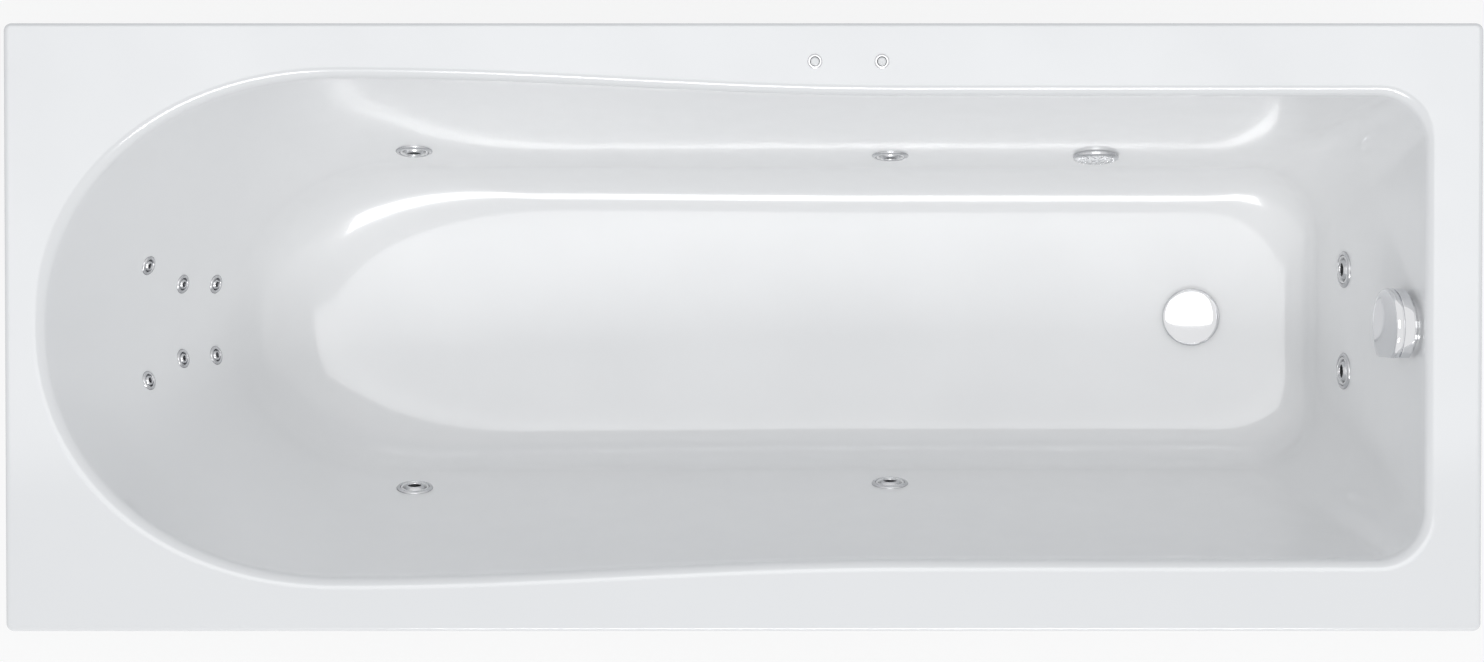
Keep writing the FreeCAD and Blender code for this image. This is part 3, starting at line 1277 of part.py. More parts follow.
def make_control_box():
    x_start = S.middle_offset - S.box_length / 2
    y_far = S.tub_width / 2 - S.wall - S.tube_side - S.moving_gap * 2
    case = block("control_case", (x_start, y_far - S.box_width, S.box_level),
                 (S.box_length, S.box_width, S.box_height))
    lid_line = block("control_case_lid", (x_start - 2, y_far - S.box_width - 3, S.box_level - 2),
                     (S.box_length + 4, 6, S.box_height + 4))
    body = fuse("control_case_body", [case, lid_line])
    seats = []
    for x in (S.button_first, S.button_second):
        seat_x = tube_seat(x)
        seats.append(rod("tube_seat", S.air_tube + S.slip, 12,
                         at(seat_x, y_far.value - S.box_width.value / 2,
                            S.box_level.value + S.box_height.value - 10)))
    gland_x = x_start.value
    gland_z = S.box_level.value + S.gland_height.value
    gland_y = y_far.value - S.box_width.value / 2
    seats.append(rod("gland_seat", 8, 14, at(gland_x - 2, gland_y, gland_z, Vector(1, 0, 0))))
    node(cut("control_box", body, gather("control_seats", seats)))
    node(turned("cable_gland", [
        (S.gland_bore, -10), (7.8, -10), (7.8, 0), (12, 0), (12, 8), (10.5, 20), (7, 24),
        (S.gland_bore, 24)],
        at(gland_x, gland_y, gland_z, Vector(-1, 0, 0))))
    tubes = []
    for x in (S.button_first, S.button_second):
        tail = Vector(x.value, button_y.value, S.rim_height.value - S.button_depth.value + 4)
        seat_x = tube_seat(x)
        end = Vector(seat_x, gland_y, S.box_level.value + S.box_height.value - 9)
        line = [tail, Vector(tail.x, tail.y, tail.z - 60), Vector(end.x, end.y, end.z + 60), end]
        tubes.append(pipe(line, [60, 60], S.air_tube.value, S.air_tube.value - 1 + 0.1))
    node(shaped("button_tubes", Part.makeCompound(tubes)))


def tube_seat(x):
    """The x on the control box where a button's tube enters."""
    if x is S.button_first:
        return x.value + S.seat_after_first.value
    return x.value - S.seat_before_second.value


make_shell()
make_board()
make_frame()
make_feet()
make_jets()
make_back_jets()
make_suction()
make_pump()
make_shelf_and_blower()
make_water_pipe()
make_air_pipe()
make_back_hoses()
make_waste()
make_overflow()
make_trap()
make_buttons()
make_control_box()
node(gather("flat_seals", seals))
node(gather("ring_nuts", ring_nuts))
doc.recompute()

# ---------------------------------------------------------------- checks and files

failed = [item.Label for item in doc.Objects
          if "Invalid" in item.State or "Error" in item.State]
failed += [label for label, item in nodes.items()
           if item.Shape.isNull() or not item.Shape.isValid()]
if failed:
    raise RuntimeError("these pieces failed: " + ", ".join(failed))

os.makedirs("parts", exist_ok=True)
for label, item in nodes.items():
    item.Shape.exportStep(os.path.join("parts", f"{label}.step"))
    print(f"{label:28s} solids {len(item.Shape.Solids):3d}  volume {item.Shape.Volume / 1000:10.1f} cm3")
print(len(nodes), "sub-parts")
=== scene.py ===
"""The look of a jetted bathtub: its finishes, its smooth visible pieces and a plain studio."""

import json
import logging
import math
from dataclasses import dataclass, field
from enum import Enum
from typing import Iterable, Sequence

import bmesh
import bpy
from mathutils import Matrix, Vector
from mathutils.geometry import tessellate_polygon


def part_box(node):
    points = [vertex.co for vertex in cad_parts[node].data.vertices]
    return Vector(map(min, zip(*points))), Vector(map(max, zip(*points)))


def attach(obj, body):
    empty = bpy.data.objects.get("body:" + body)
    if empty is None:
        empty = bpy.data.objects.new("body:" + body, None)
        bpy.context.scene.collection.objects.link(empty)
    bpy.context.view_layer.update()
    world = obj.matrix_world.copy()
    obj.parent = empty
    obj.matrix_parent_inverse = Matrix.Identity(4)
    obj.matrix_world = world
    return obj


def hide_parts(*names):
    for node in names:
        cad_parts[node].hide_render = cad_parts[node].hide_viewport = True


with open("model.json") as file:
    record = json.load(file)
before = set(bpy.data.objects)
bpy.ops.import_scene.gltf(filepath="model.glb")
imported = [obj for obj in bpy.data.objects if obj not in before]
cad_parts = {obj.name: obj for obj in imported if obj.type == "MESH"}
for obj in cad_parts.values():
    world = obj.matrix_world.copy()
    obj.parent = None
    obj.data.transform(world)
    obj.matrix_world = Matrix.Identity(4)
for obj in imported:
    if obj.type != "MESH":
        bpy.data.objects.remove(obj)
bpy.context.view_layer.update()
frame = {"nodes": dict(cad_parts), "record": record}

log = logging.getLogger("bathtub")

MM = 0.001
CREASE = 32.0
Loop = list[Vector]
Profile = Sequence[tuple[float, float]]
Size = tuple[float, float, float]


# ---------------------------------------------------------------- finishes

class Texture(Enum):
    """The kinds of surface detail."""

    POLISHED = "polished"
    MOULDED = "moulded"
    BRUSHED = "brushed"
    FLAKES = "flakes"
    FIBRES = "fibres"


@dataclass(frozen=True)
class Finish:
    """One finish: a colour, a second colour it drifts towards, and how it reflects.

    Args:
        color: main linear colour.
        tint: linear colour of stains, wear and grain.
        roughness: mean roughness.
        texture: kind of surface detail.
        metallic: 1 for bare metal.
        coat: weight of the clear coat.
        scale: detail per metre.
        amount: how much of the tint shows.
        bump: height of the detail in metres.
    """

    color: tuple[float, float, float]
    tint: tuple[float, float, float]
    roughness: float
    texture: Texture = Texture.MOULDED
    metallic: float = 0.0
    # coat: above 0 puts on the clear coat, whose weight comes from the surface detail.
    coat: float = 0.0
    scale: float = 60.0
    amount: float = 0.25
    bump: float = 0.0001


class Look(Enum):
    """Every finish on the tub, by the name of its material slot."""

    ACRYLIC = "acrylic"
    BACKING = "backing"
    BOARD = "board"
    FRAME = "frame_steel"
    ZINC = "bright_steel"
    FOOT = "foot_plastic"
    CHROME = "chrome"
    SATIN = "satin_chrome"
    WHITE = "white_plastic"
    DARK = "dark_plastic"
    PIPE = "pipe_plastic"
    GREY = "grey_plastic"
    HOSE = "hose_plastic"
    RUBBER = "rubber"
    MOTOR = "motor_metal"


FINISHES: dict[Look, Finish] = {
    Look.ACRYLIC: Finish((0.90, 0.903, 0.905), (0.85, 0.853, 0.856), 0.2, Texture.POLISHED,
                         coat=0.5, scale=9, amount=0.3, bump=0.00002),
    Look.BACKING: Finish((0.62, 0.60, 0.52), (0.45, 0.43, 0.36), 0.55, Texture.FIBRES,
                         scale=120, amount=0.6, bump=0.0006),
    Look.BOARD: Finish((0.48, 0.33, 0.19), (0.26, 0.16, 0.08), 0.75, Texture.FLAKES,
                       scale=160, amount=0.8, bump=0.0003),
    Look.FRAME: Finish((0.42, 0.43, 0.45), (0.30, 0.31, 0.33), 0.42, Texture.MOULDED,
                       scale=500, amount=0.3, coat=0.15, bump=0.00008),
    Look.ZINC: Finish((0.66, 0.66, 0.68), (0.50, 0.50, 0.48), 0.3, Texture.BRUSHED,
                      metallic=1.0, scale=220, amount=0.4, bump=0.00003),
    Look.FOOT: Finish((0.03, 0.03, 0.032), (0.07, 0.07, 0.07), 0.5, scale=900, bump=0.00006),
    Look.CHROME: Finish((0.78, 0.785, 0.80), (0.62, 0.63, 0.65), 0.06, Texture.POLISHED,
                        metallic=1.0, scale=30, amount=0.25, bump=0.000004),
    Look.SATIN: Finish((0.62, 0.625, 0.64), (0.5, 0.505, 0.52), 0.24, Texture.BRUSHED,
                       metallic=1.0, scale=400, amount=0.25, bump=0.00001),
    Look.WHITE: Finish((0.84, 0.845, 0.85), (0.74, 0.74, 0.73), 0.2, Texture.POLISHED,
                       coat=0.2, scale=70, amount=0.3, bump=0.00001),
    Look.DARK: Finish((0.035, 0.036, 0.04), (0.08, 0.08, 0.085), 0.42, scale=700, bump=0.00006),
    Look.PIPE: Finish((0.70, 0.71, 0.71), (0.58, 0.58, 0.56), 0.32, scale=180, bump=0.00004),
    Look.GREY: Finish((0.22, 0.225, 0.235), (0.3, 0.305, 0.31), 0.45, scale=600, bump=0.00006),
    Look.HOSE: Finish((0.52, 0.53, 0.55), (0.42, 0.43, 0.44), 0.35, scale=140, bump=0.00005),
    Look.RUBBER: Finish((0.018, 0.018, 0.019), (0.05, 0.05, 0.05), 0.62, scale=800,
                        bump=0.00006),
    Look.MOTOR: Finish((0.12, 0.15, 0.20), (0.20, 0.22, 0.25), 0.45, scale=420, coat=0.1,
                       amount=0.35, bump=0.00012),
}


class Finisher:
    """Builds the shader group once, then one material for each finish."""

    COAT_ROUGHNESS = 0.07
    SMUDGE_SCALE = 6.0
    SPOT_SCALE = 85.0
    SPOT_SIZE = 0.11
    WEIGHTS = {Texture.POLISHED: (0.0, 0.25), Texture.MOULDED: (0.15, 1.0),
               Texture.BRUSHED: (0.0, 1.1), Texture.FLAKES: (1.0, 0.5),
               Texture.FIBRES: (0.6, 1.0)}
    STRETCH = {Texture.BRUSHED: (1.0, 0.06, 1.0), Texture.FLAKES: (0.5, 1.0, 1.0),
               Texture.FIBRES: (0.35, 1.0, 1.0)}

    def __init__(self) -> None:
        """Makes the shared group and all the materials."""
        self.group = self._wear_group()
        self.materials = {look: self._material(look, finish) for look, finish in FINISHES.items()}

    def __getitem__(self, look: Look) -> bpy.types.Material:
        """The material of a finish."""
        return self.materials[look]

    @staticmethod
    def _link(tree: bpy.types.NodeTree, start: bpy.types.NodeSocket,
              end: bpy.types.NodeSocket) -> None:
        """Joins two sockets."""
        tree.links.new(start, end)

    @staticmethod
    def _noise(tree: bpy.types.NodeTree, detail: float, rough: float) -> bpy.types.Node:
        """A noise texture.

        Args:
            tree: where the nodes are made.
            detail: octaves.
            rough: weight of the fine octaves.

        Returns:
            The node.
        """
        noise = tree.nodes.new("ShaderNodeTexNoise")
        noise.inputs["Detail"].default_value = detail
        noise.inputs["Roughness"].default_value = rough
        return noise

    @staticmethod
    def _math(tree: bpy.types.NodeTree, kind: str, first: object, second: object,
              third: object = None, clamp: bool = False) -> bpy.types.NodeSocket:
        """A math node on numbers or sockets.

        Args:
            tree: where the nodes are made.
            kind: the operation.
            first: the first operand.
            second: the second operand.
            third: the third operand, where the operation has one.
            clamp: keeps the result between 0 and 1.

        Returns:
            The result's socket.
        """
        step = tree.nodes.new("ShaderNodeMath")
        step.operation = kind
        step.use_clamp = clamp
        for socket, value in zip(step.inputs, (first, second, third)):
            if value is None:
                continue
            if isinstance(value, (int, float)):
                socket.default_value = value
            else:
                tree.links.new(value, socket)
        return step.outputs[0]

    def _wear_group(self) -> bpy.types.NodeTree:
        """The shared detail: large smudges, fine grain, spots and streaks, mixed by weights.

        Returns:
            The node group.
        """
        tree = bpy.data.node_groups.new("surface_detail", "ShaderNodeTree")
        sockets = (("Color", "NodeSocketColor"), ("Tint", "NodeSocketColor"),
                   ("Roughness", "NodeSocketFloat"), ("Amount", "NodeSocketFloat"),
                   ("Scale", "NodeSocketFloat"), ("Stretch", "NodeSocketVector"),
                   ("Cells", "NodeSocketFloat"), ("Grain", "NodeSocketFloat"))
        for name, kind in sockets:
            tree.interface.new_socket(name, in_out="INPUT", socket_type=kind)
        for name, kind in (("Base Color", "NodeSocketColor"), ("Roughness", "NodeSocketFloat"),
                           ("Coat Weight", "NodeSocketFloat"),
                           ("Bump Height", "NodeSocketFloat")):
            tree.interface.new_socket(name, in_out="OUTPUT", socket_type=kind)
        given = tree.nodes.new("NodeGroupInput").outputs
        result = tree.nodes.new("NodeGroupOutput").inputs
        place = tree.nodes.new("ShaderNodeTexCoord").outputs["Object"]
        stretched = tree.nodes.new("ShaderNodeVectorMath")
        stretched.operation = "MULTIPLY"
        self._link(tree, place, stretched.inputs[0])
        self._link(tree, given["Stretch"], stretched.inputs[1])
        smudge = self._noise(tree, 3.0, 0.55)
        smudge.inputs["Scale"].default_value = self.SMUDGE_SCALE
        self._link(tree, place, smudge.inputs["Vector"])
        grain = self._noise(tree, 4.0, 0.6)
        self._link(tree, stretched.outputs[0], grain.inputs["Vector"])
        self._link(tree, given["Scale"], grain.inputs["Scale"])
        cells = tree.nodes.new("ShaderNodeTexVoronoi")
        self._link(tree, stretched.outputs[0], cells.inputs["Vector"])
        self._link(tree, given["Scale"], cells.inputs["Scale"])
        spots = tree.nodes.new("ShaderNodeTexVoronoi")
        spots.inputs["Scale"].default_value = self.SPOT_SCALE
        self._link(tree, place, spots.inputs["Vector"])
        drop = self._math(tree, "LESS_THAN", spots.outputs["Distance"], self.SPOT_SIZE)
        shade = tree.nodes.new("ShaderNodeRGBToBW")
        self._link(tree, cells.outputs["Color"], shade.inputs[0])
        fine = self._math(tree, "SUBTRACT", grain.outputs["Fac"], 0.5)
        cell = self._math(tree, "SUBTRACT", shade.outputs[0], 0.5)
        mixed = self._math(tree, "ADD", self._math(tree, "MULTIPLY", fine, given["Grain"]),
                           self._math(tree, "MULTIPLY", cell, given["Cells"]))
        large = self._math(tree, "SUBTRACT", smudge.outputs["Fac"], 0.5)
        detail_mix = self._math(tree, "ADD", self._math(tree, "MULTIPLY", large, 0.9), mixed)
        share = self._math(tree, "MULTIPLY_ADD", detail_mix, 1.6, 0.5, clamp=True)
        share = self._math(tree, "MULTIPLY", share, given["Amount"])
        blend = tree.nodes.new("ShaderNodeMix")
        blend.data_type = "RGBA"
        self._link(tree, share, blend.inputs["Factor"])
        color_inputs = [item for item in blend.inputs if item.type == "RGBA"]
        self._link(tree, given["Color"], color_inputs[0])
        self._link(tree, given["Tint"], color_inputs[1])
        color_output = next(item for item in blend.outputs if item.type == "RGBA")
        self._link(tree, color_output, result["Base Color"])
        spread = self._math(tree, "MULTIPLY_ADD", detail_mix, 0.35, 1.0)
        rough = self._math(tree, "MULTIPLY", given["Roughness"], spread)
        rough = self._math(tree, "MULTIPLY_ADD", drop, 0.02, rough, clamp=True)
        self._link(tree, rough, result["Roughness"])
        coat = self._math(tree, "MULTIPLY_ADD", large, -0.8, 0.9, clamp=True)
        self._link(tree, coat, result["Coat Weight"])
        self._link(tree, mixed, result["Bump Height"])
        return tree

    def _material(self, look: Look, finish: Finish) -> bpy.types.Material:
        """A material whose constants sit on the shader's own sockets.

        Args:
            look: the finish's name.
            finish: its values.

        Returns:
            The material.
        """
        material = bpy.data.materials.new("finish_" + look.value)
        material.use_nodes = True
        tree = material.node_tree
        shader = tree.nodes["Principled BSDF"]
        shader.inputs["Metallic"].default_value = finish.metallic
        shader.inputs["Coat Roughness"].default_value = self.COAT_ROUGHNESS
        detail = tree.nodes.new("ShaderNodeGroup")
        detail.node_tree = self.group
        cells, grain = self.WEIGHTS[finish.texture]
        stretch = self.STRETCH.get(finish.texture, (1.0, 1.0, 1.0))
        values = {"Color": (*finish.color, 1.0), "Tint": (*finish.tint, 1.0),
                  "Roughness": finish.roughness, "Amount": finish.amount,
                  "Scale": finish.scale, "Stretch": stretch, "Cells": cells, "Grain": grain}
        for name, value in values.items():
            detail.inputs[name].default_value = value
        tree.links.new(detail.outputs["Base Color"], shader.inputs["Base Color"])
        tree.links.new(detail.outputs["Roughness"], shader.inputs["Roughness"])
        if finish.coat:
            tree.links.new(detail.outputs["Coat Weight"], shader.inputs["Coat Weight"])
        bump = tree.nodes.new("ShaderNodeBump")
        bump.inputs["Strength"].default_value = 1.0
        bump.inputs["Distance"].default_value = finish.bump
        tree.links.new(detail.outputs["Bump Height"], bump.inputs["Height"])
        tree.links.new(bump.outputs["Normal"], shader.inputs["Normal"])
        return material


# ---------------------------------------------------------------- the basin's form

@dataclass(frozen=True)
class BasinForm:
    """Sizes of the rim and the basin, in metres and degrees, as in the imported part."""

    length: float = 1.7
    width: float = 0.7
    rim_height: float = 0.6
    depth: float = 0.4
    wall: float = 0.006
    lip_drop: float = 0.038
    rim_corner: float = 0.009
    rim_round: float = 0.004
    edge_round: float = 0.010
    head_margin: float = 0.0414
    foot_margin: float = 0.063
    head_side_margin: float = 0.060
    foot_side_margin: float = 0.081
    head_run: float = 0.3436
    taper_run: float = 0.655
    foot_corner: float = 0.055
    corner_growth: float = 0.035
    head_lean: float = 30.0
    side_lean_head: float = 16.3
    side_lean_foot: float = 13.5
    foot_lean: float = 13.5
    head_fillet: float = 0.150
    side_fillet: float = 0.060
    foot_fillet: float = 0.050
    shift_wall: float = 0.075
    shift_floor: float = 0.190
    squareness: float = 2.1

    @property
    def head_x(self) -> float:
        """The basin's head end at the rim."""
        return -self.length / 2 + self.head_margin

    @property
    def foot_x(self) -> float:
        """The basin's foot end at the rim."""
        return self.length / 2 - self.foot_margin

    @property
    def widest_x(self) -> float:
        """Where the basin is widest."""
        return self.head_x + self.head_run

    @property
    def straight_x(self) -> float:
        """Where the sides turn straight."""
        return self.widest_x + self.taper_run

    @property
    def bend(self) -> float:
        """Depth at which the backrest starts to round into the floor."""
        return self.depth - self.head_fillet * (1 - math.sin(math.radians(self.head_lean)))

    def inset(self, depth: float, lean: float, fillet: float, grow: float) -> float:
        """How far a leaning wall has come in at a depth.

        Args:
            depth: metres below the rim.
            lean: degrees from upright.
            fillet: radius where the wall meets the floor.
            grow: the wall's thickness, for the outer skin.

        Returns:
            The distance in metres.
        """
        angle = math.radians(lean)
        level = self.depth - fillet
        centre = (fillet + level * math.sin(angle)) / math.cos(angle)
        radius = fillet + grow
        if depth <= level + radius * math.sin(angle):
            return depth * math.tan(angle) - grow / math.cos(angle)
        return centre - math.sqrt(max(radius ** 2 - (depth - level) ** 2, 0.0))


FOOT_STEPS, CORNER_STEPS, STRAIGHT_STEPS, TAPER_STEPS, HEAD_STEPS = 12, 14, 26, 44, 60


@dataclass
class Outline:
    """The basin's plan at one depth.

    Args:
        form: the basin.
        depth: metres below the rim.
        grow: 0 for the inner skin, the wall's thickness for the outer skin.
    """

    form: BasinForm
    depth: float
    grow: float = 0.0
    head: float = field(init=False)
    foot: float = field(init=False)
    wide: float = field(init=False)
    narrow: float = field(init=False)
    widest: float = field(init=False)
    corner: float = field(init=False)

    def __post_init__(self) -> None:
        """Works out the ends, the widths and the corners at this depth."""
        form, grow = self.form, self.grow
        below = max(self.depth, 0.0)
        across = 1 - min(below / form.edge_round, 1.0)
        step = 0.0 if grow else form.edge_round * (1 - math.sqrt(1 - across ** 2))
        self.head = form.head_x - step + form.inset(
            below, form.head_lean, form.head_fillet, grow)
        self.foot = form.foot_x + step - form.inset(
            below, form.foot_lean, form.foot_fillet, grow)
        self.wide = form.width / 2 - form.head_side_margin + step - form.inset(
            below, form.side_lean_head, form.side_fillet, grow)
        self.narrow = form.width / 2 - form.foot_side_margin + step - form.inset(
            below, form.side_lean_foot, form.side_fillet, grow)
        fall = min(below / form.bend, 1.0)
        turn = (below - form.bend) / (form.depth + grow - form.bend)
        turn = min(max(turn, 0.0), 1.0)
        self.widest = (form.widest_x + form.shift_wall * fall
                       + form.shift_floor * (1 - math.sqrt(1 - turn ** 2)))
        self.corner = (form.foot_corner + step
                       + form.corner_growth * min(below / form.depth, 1.0))

    @property
    def z(self) -> float:
        """Height of the outline above the floor."""
        return self.form.rim_height - self.depth

    def half_width(self, x: float) -> float:
        """Half the width between the head end and the foot corners.

        Args:
            x: place along the tub.

        Returns:
            Half the width in metres.
        """
        form = self.form
        if x >= form.straight_x:
            return self.narrow
        if x >= self.widest:
            share = (x - self.widest) / (form.straight_x - self.widest)
            return self.narrow + (self.wide - self.narrow) * (1 + math.cos(math.pi * share)) / 2
        share = min((self.widest - x) / (self.widest - self.head), 1.0)
        return self.wide * (1 - share ** form.squareness) ** (1 / form.squareness)

    def end_x(self, y: float) -> float:
        """The x of the round head end at a y."""
        power = self.form.squareness
        reach = (1 - (abs(y) / self.wide) ** power) ** (1 / power)
        return self.widest - (self.widest - self.head) * reach

    def loop(self) -> Loop:
        """The closed outline, from the middle of the foot end round by +y.

        Returns:
            The points, the same number at every depth.
        """
        power = 2 / self.form.squareness
        centre_x = self.foot - self.corner
        centre_y = self.narrow - self.corner
        half = [Vector((self.foot, y, self.z)) for y in spread(0.0, centre_y, FOOT_STEPS)]
        half += [Vector((centre_x + self.corner * math.cos(angle),
                         centre_y + self.corner * math.sin(angle), self.z))
                 for angle in spread(0.0, math.pi / 2, CORNER_STEPS)[1:]]
        half += [Vector((x, self.narrow, self.z))
                 for x in spread(centre_x, self.form.straight_x, STRAIGHT_STEPS)[1:]]
        half += [Vector((x, self.half_width(x), self.z))
                 for x in spread(self.form.straight_x, self.widest, TAPER_STEPS)[1:]]
        half += [Vector((self.widest - (self.widest - self.head) * math.cos(angle) ** power,
                         self.wide * max(math.sin(angle), 0.0) ** power, self.z))
                 for angle in spread(math.pi / 2, 0.0, HEAD_STEPS)[1:]]
        half[-1].y = 0.0
        return half + [Vector((point.x, -point.y, point.z)) for point in half[-2:0:-1]]


def spread(start: float, end: float, steps: int) -> list[float]:
    """Evenly spaced values, both ends included."""
    return [start + (end - start) * index / steps for index in range(steps + 1)]


class Side(Enum):
    """The basin's four walls."""

    PLUS = 1
    MINUS = -1
    HEAD = 2
    FOOT = 3


def wall_place(form: BasinForm, side: Side, along: float, depth: float) -> Matrix:
    """A fitting's place on the inner skin, with its z axis pointing into the basin.

    Args:
        form: the basin.
        side: which wall.
        along: x on a side wall and y at an end.
        depth: metres below the rim.

    Returns:
        The place.
    """
    small = 0.001

    def point(run: float, fall: float) -> Vector:
        """The point of the skin at a place along the wall and a depth.

        Args:
            run: place along the wall.
            fall: metres below the rim.

        Returns:
            The point.
        """
        line = Outline(form, fall)
        if side is Side.HEAD:
            return Vector((line.end_x(run), run, line.z))
        if side is Side.FOOT:
            return Vector((line.foot, run, line.z))
        return Vector((run, line.half_width(run) * side.value, line.z))

    across = point(along + small, depth) - point(along - small, depth)
    down = point(along, depth + small) - point(along, depth - small)
    normal = across.cross(down).normalized()
    if normal.z < 0:
        normal = -normal
    upright = (Vector((0, 0, 1)) - normal * normal.z).normalized()
    return placement(point(along, depth), normal, upright)


def placement(origin: Vector, normal: Vector, upright: Vector) -> Matrix:
    """A frame with z along normal and y along upright.

    Args:
        origin: its place.
        normal: its z axis.
        upright: its y axis.

    Returns:
        The frame.
    """
    level = upright.cross(normal).normalized()
    turn = Matrix((level, upright, normal)).transposed()
    return Matrix.Translation(origin) @ turn.to_4x4()


# ---------------------------------------------------------------- mesh helpers

def to_object(name: str, mesh: bpy.types.Mesh, *looks: bpy.types.Material,
              sharp: float = CREASE) -> bpy.types.Object:
    """Links a mesh as a finished object at the origin, smooth with sharp creases.

    Args:
        name: the object's name.
        mesh: its mesh, in the row frame.
        looks: materials, in slot order.
        sharp: degrees above which an edge is a crease.

    Returns:
        The object.
    """
    for material in looks:
        mesh.materials.append(material)
    mesh.shade_smooth()
    mesh.set_sharp_from_angle(angle=math.radians(sharp))
    piece = bpy.data.objects.new(name, mesh)
    bpy.context.scene.collection.objects.link(piece)
    return piece


def lathe(profile: Profile, place: Matrix, target: bmesh.types.BMesh, steps: int = 72,
          closed: bool = True, slot: int = 0) -> None:
    """Turns a profile of (radius, height) points in millimetres about a place's z axis.

    Args:
        profile: the points; a radius of 0 is on the axis.
        place: where the axis is.
        target: the mesh that it is added to.
        steps: sides of the turned shape.
        closed: joins the last point to the first.
        slot: material index of the faces.
    """
    rings: list[list[bmesh.types.BMVert]] = []
    for radius, height in profile:
        if radius == 0:
            rings.append([target.verts.new(place @ Vector((0, 0, height * MM)))])
            continue
        rings.append([target.verts.new(place @ Vector((
            radius * MM * math.cos(math.tau * index / steps),
            radius * MM * math.sin(math.tau * index / steps), height * MM)))
            for index in range(steps)])
    pairs = list(zip(rings, rings[1:]))
    if closed and len(rings[-1]) > 1:
        pairs.append((rings[-1], rings[0]))
    made = []
    for first, second in pairs:
        if len(first) == 1 and len(second) == 1:
            continue
        for index in range(steps):
            after = (index + 1) % steps
            corners = [first[index % len(first)], first[after % len(first)],
                       second[after % len(second)], second[index % len(second)]]
            unique = list(dict.fromkeys(corners))
            made.append(target.faces.new(unique))
    for face in made:
        face.material_index = slot
    bmesh.ops.recalc_face_normals(target, faces=made)


def arc(radius: float, centre: tuple[float, float], start: float, end: float,
        steps: int) -> list[tuple[float, float]]:
    """Profile points round an arc, in millimetres and degrees.

    Args:
        radius: the arc's radius.
        centre: its centre.
        start: first angle.
        end: last angle.
        steps: how many parts it has.

    Returns:
        The points.
    """
    return [(centre[0] + radius * math.cos(math.radians(angle)),
             centre[1] + radius * math.sin(math.radians(angle)))
            for angle in spread(start, end, steps)]


def finished(name: str, made: bmesh.types.BMesh, *looks: bpy.types.Material,
             sharp: float = CREASE) -> bpy.types.Object:
    """Turns a bmesh into a finished object.

    Args:
        name: the object's name.
        made: the bmesh, which is freed.
        looks: materials, in slot order.
        sharp: degrees above which an edge is a crease.

    Returns:
        The object.
    """
    mesh = bpy.data.meshes.new(name)
    made.to_mesh(mesh)
    made.free()
    return to_object(name, mesh, *looks, sharp=sharp)


def carved(base: bpy.types.Object, tool: bpy.types.Object) -> None:
    """Cuts one object out of another and drops the tool.

    Args:
        base: the piece that keeps its name and materials.
        tool: what is cut out of it.
    """
    looks = list(base.data.materials)
    change = base.modifiers.new("carve", "BOOLEAN")
    change.object = tool
    change.operation = "DIFFERENCE"
    change.solver = "EXACT"
    graph = bpy.context.evaluated_depsgraph_get()
    mesh = bpy.data.meshes.new_from_object(base.evaluated_get(graph))
    base.modifiers.clear()
    base.data = mesh
    mesh.materials.clear()
    for material in looks:
        mesh.materials.append(material)
    bpy.data.objects.remove(tool)


def joined(base: bpy.types.Object, extra: bpy.types.Object) -> bpy.types.Object:
    """Adds another object's mesh to a piece, so that a body keeps one mesh.

    Args:
        base: the piece.
        extra: what is added, and then dropped.

    Returns:
        The piece.
    """
    shift = len(base.data.materials)
    for material in extra.data.materials:
        base.data.materials.append(material)
    made = bmesh.new()
    made.from_mesh(base.data)
    start = len(made.faces)
    made.from_mesh(extra.data)
    made.faces.ensure_lookup_table()
    for face in made.faces[start:]:
        face.material_index += shift
    made.to_mesh(base.data)
    made.free()
    bpy.data.objects.remove(extra)
    return base


# ---------------------------------------------------------------- geometry node trees

